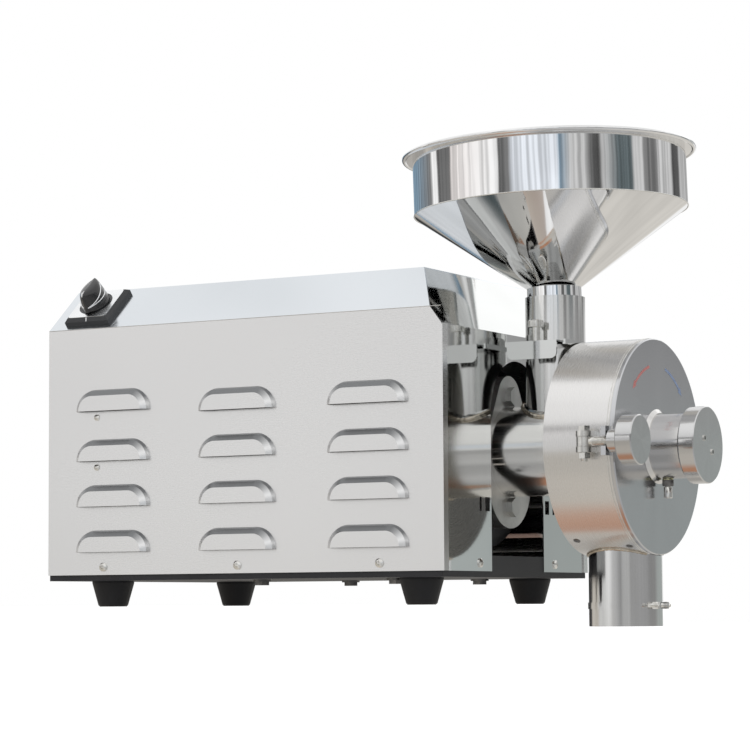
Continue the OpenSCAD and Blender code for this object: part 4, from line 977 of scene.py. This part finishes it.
# Each belt: its lower edge, how far that edge blurs to each side, its share of fine stripes, and then
# azimuths with tones. Angles are in degrees, azimuth from +X towards +Y.
BELTS = (
    (-90.0, 1.0, 0.0, (
        (0, DEEP), (40, 0.60), (60, 0.95), (84, 0.80), (100, 1.05), (114, 0.90), (118, UMBER), (150, COCOA),
        (170, COPPER), (250, COPPER), (270, BEIGE), (360, DEEP))),
    (-78.0, 3.0, 0.1, (
        (0, 0.45), (30, WARM), (70, WARM), (76, 0.95), (92, 0.70), (104, 0.95), (114, 0.90), (118, 0.35),
        (128, BEIGE), (150, BEIGE), (158, COPPER), (246, COPPER), (266, BEIGE), (320, 0.60), (360, 0.45))),
    (-60.0, 6.0, 0.1, (
        (0, 0.55), (40, WARM), (112, WARM), (119, OLIVE), (166, OLIVE), (176, BEIGE), (262, BEIGE),
        (280, 0.70), (300, 0.45), (330, 0.65), (360, 0.55))),
    (-27.0, 5.0, 0.1, (
        (0, 0.62), (40, WARM), (112, WARM), (119, OLIVE), (164, OLIVE), (172, BEIGE), (190, BROWN),
        (262, BROWN), (272, 0.80), (292, 0.45), (304, 0.78), (330, 0.50), (360, 0.62))),
    (-5.0, 2.0, 0.2, (
        (0, 0.34), (12, 0.28), (34, 0.30), (50, SLATE), (84, SLATE), (88, 0.95), (108, 0.95), (114, 0.05),
        (158, 0.05), (164, BEIGE), (196, BEIGE), (206, 0.80), (226, 0.80), (236, 0.95), (244, 0.95),
        (256, 0.55), (270, 0.44), (280, 0.28), (289, 0.52), (303, 0.52), (312, 0.34), (336, 0.38),
        (360, 0.34))),
    (3.5, 0.4, 0.3, (
        (0, 0.42), (33, 0.36), (70, 0.42), (82, 0.75), (112, 0.80), (118, 0.16), (160, 0.20), (166, BROWN),
        (198, BEIGE), (204, 0.80), (230, 0.66), (235, 0.86), (246, 0.86), (251, 0.55), (262, 0.78),
        (270, 0.92), (300, 0.86), (326, 0.74), (334, 0.36), (344, 0.50), (360, 0.42))),
    (7.1, 0.3, 0.6, (
        (0, INK), (8, INK), (9, 0.62), (19, 0.62), (20, 0.22), (35, 0.22), (36, 0.62), (57, 0.62),
        (58, 0.10), (70, 0.10), (72, 0.48), (110, 0.48), (113, BLUE), (146, BLUE), (178, 0.26), (181, 0.90),
        (188, 0.90), (190, 0.16), (205, 0.16), (207, PINK), (253, 0.95), (254, 0.18), (264, 0.18),
        (265, SKY), (303, SKY), (305, BLUE), (314, 0.66), (326, 0.60), (328, 0.22), (337, 0.05),
        (340, 0.60), (354, INK))),
    (15.2, 0.5, 0.2, (
        (0, 0.9), (60, SLATE), (110, SLATE), (125, 0.9), (215, 0.9), (222, 0.14), (262, 0.14), (270, 0.9),
        (360, 0.9))),
    (19.0, 1.0, 0.2, (
        (0, 1.0), (70, 1.0), (78, 1.3), (98, 1.3), (106, 1.0), (360, 1.0))),
    (42.0, 3.0, 0.2, (
        (0, 1.0), (60, 0.9), (100, 1.0), (120, 1.08), (235, 1.08), (260, 1.0), (360, 1.0))),
)


def belt_tone(tree, share, stops):
    """The tones of one belt, by the share of a full turn."""
    ramp = add_node(tree, "ShaderNodeValToRGB")
    link(tree, share, ramp.inputs[0])
    elements = ramp.color_ramp.elements
    for number, (azimuth, tone) in enumerate(stops):
        element = elements[number] if number < 2 else elements.new(1.0)
        element.position = azimuth / 360
        colour = tone if isinstance(tone, tuple) else grey(tone)
        element.color = (*colour, 1)
    return ramp.outputs[0]


def room_colour(tree):
    """The belts over one another, each with its fine stripes."""
    parts = add_node(tree, "ShaderNodeSeparateXYZ")
    link(tree, add_node(tree, "ShaderNodeTexCoord").outputs["Object"], parts.inputs[0])
    turn = math_node(tree, "ARCTAN2", parts.outputs[Y], parts.outputs[X])
    turns = math_node(tree, "DIVIDE", turn, 2 * math.pi)
    share = math_node(tree, "FRACT", math_node(tree, "ADD", turns, 1.0))
    climb = math_node(tree, "ARCSINE", math_node(tree, "DIVIDE", parts.outputs[Z], ROOM_RADIUS))
    height = math_node(tree, "MULTIPLY", climb, 180 / math.pi)
    line = add_node(tree, "ShaderNodeCombineXYZ")
    link(tree, math_node(tree, "MULTIPLY", share, STRIPES_ROUND), line.inputs[0])
    link(tree, math_node(tree, "MULTIPLY", height, STRIPES_PER_DEGREE), line.inputs[1])
    stripes = spread(tree, noise(tree, line.outputs[0], 1.0, 2.0), -1.0, 1.0, 0.40, 0.60)
    colour = None
    for edge, soft, fine, stops in BELTS:
        swing = math_node(tree, "MULTIPLY", stripes, STRIPE_STRENGTH * fine)
        tone = belt_tone(tree, share, stops)
        striped = mix_colour(tree, 1.0, tone, math_node(tree, "ADD", swing, 1.0), "MULTIPLY")
        if colour is None:
            colour = striped
        else:
            above = spread(tree, height, 0.0, 1.0, edge - soft, edge + soft)
            colour = mix_colour(tree, above, colour, striped)
    return colour


def make_room():
    """The surroundings, as a large sphere that only reflections see."""
    mesh = bpy.data.meshes.new("studio_room")
    shape = bmesh.new()
    bmesh.ops.create_icosphere(shape, subdivisions=5, radius=ROOM_RADIUS)
    shape.to_mesh(mesh)
    shape.free()
    material = bpy.data.materials.new("studio_room")
    material.use_nodes = True
    material.cycles.emission_sampling = "NONE"
    tree = material.node_tree
    tree.nodes.clear()
    out = add_node(tree, "ShaderNodeOutputMaterial")
    glow = add_node(tree, "ShaderNodeEmission")
    link(tree, room_colour(tree), glow.inputs["Color"])
    link(tree, glow.outputs[0], out.inputs["Surface"])
    mesh.materials.append(material)
    room = bpy.data.objects.new("studio_room", mesh)
    bpy.context.scene.collection.objects.link(room)
    room.location = ROOM_CENTRE
    room.visible_camera = False
    room.visible_diffuse = False
    room.visible_shadow = False
    room.visible_transmission = False
    room.visible_volume_scatter = False


def make_studio():
    make_world()
    make_floor()
    make_room()
    area_lamp("key_lamp", place=(-1.2, -2.2, 2.4), size=(2.0, 1.6), power=42)
    area_lamp("fill_lamp", place=(2.4, -1.6, 1.2), size=(1.6, 1.6), power=18)
    area_lamp("back_lamp", place=(0.6, 2.6, 2.2), size=(2.0, 1.2), power=22)


make_camera()
materials = make_materials()
paint_nodes(materials)
make_pieces(materials)
make_studio()

scene = bpy.context.scene
scene.view_settings.view_transform = "Standard"
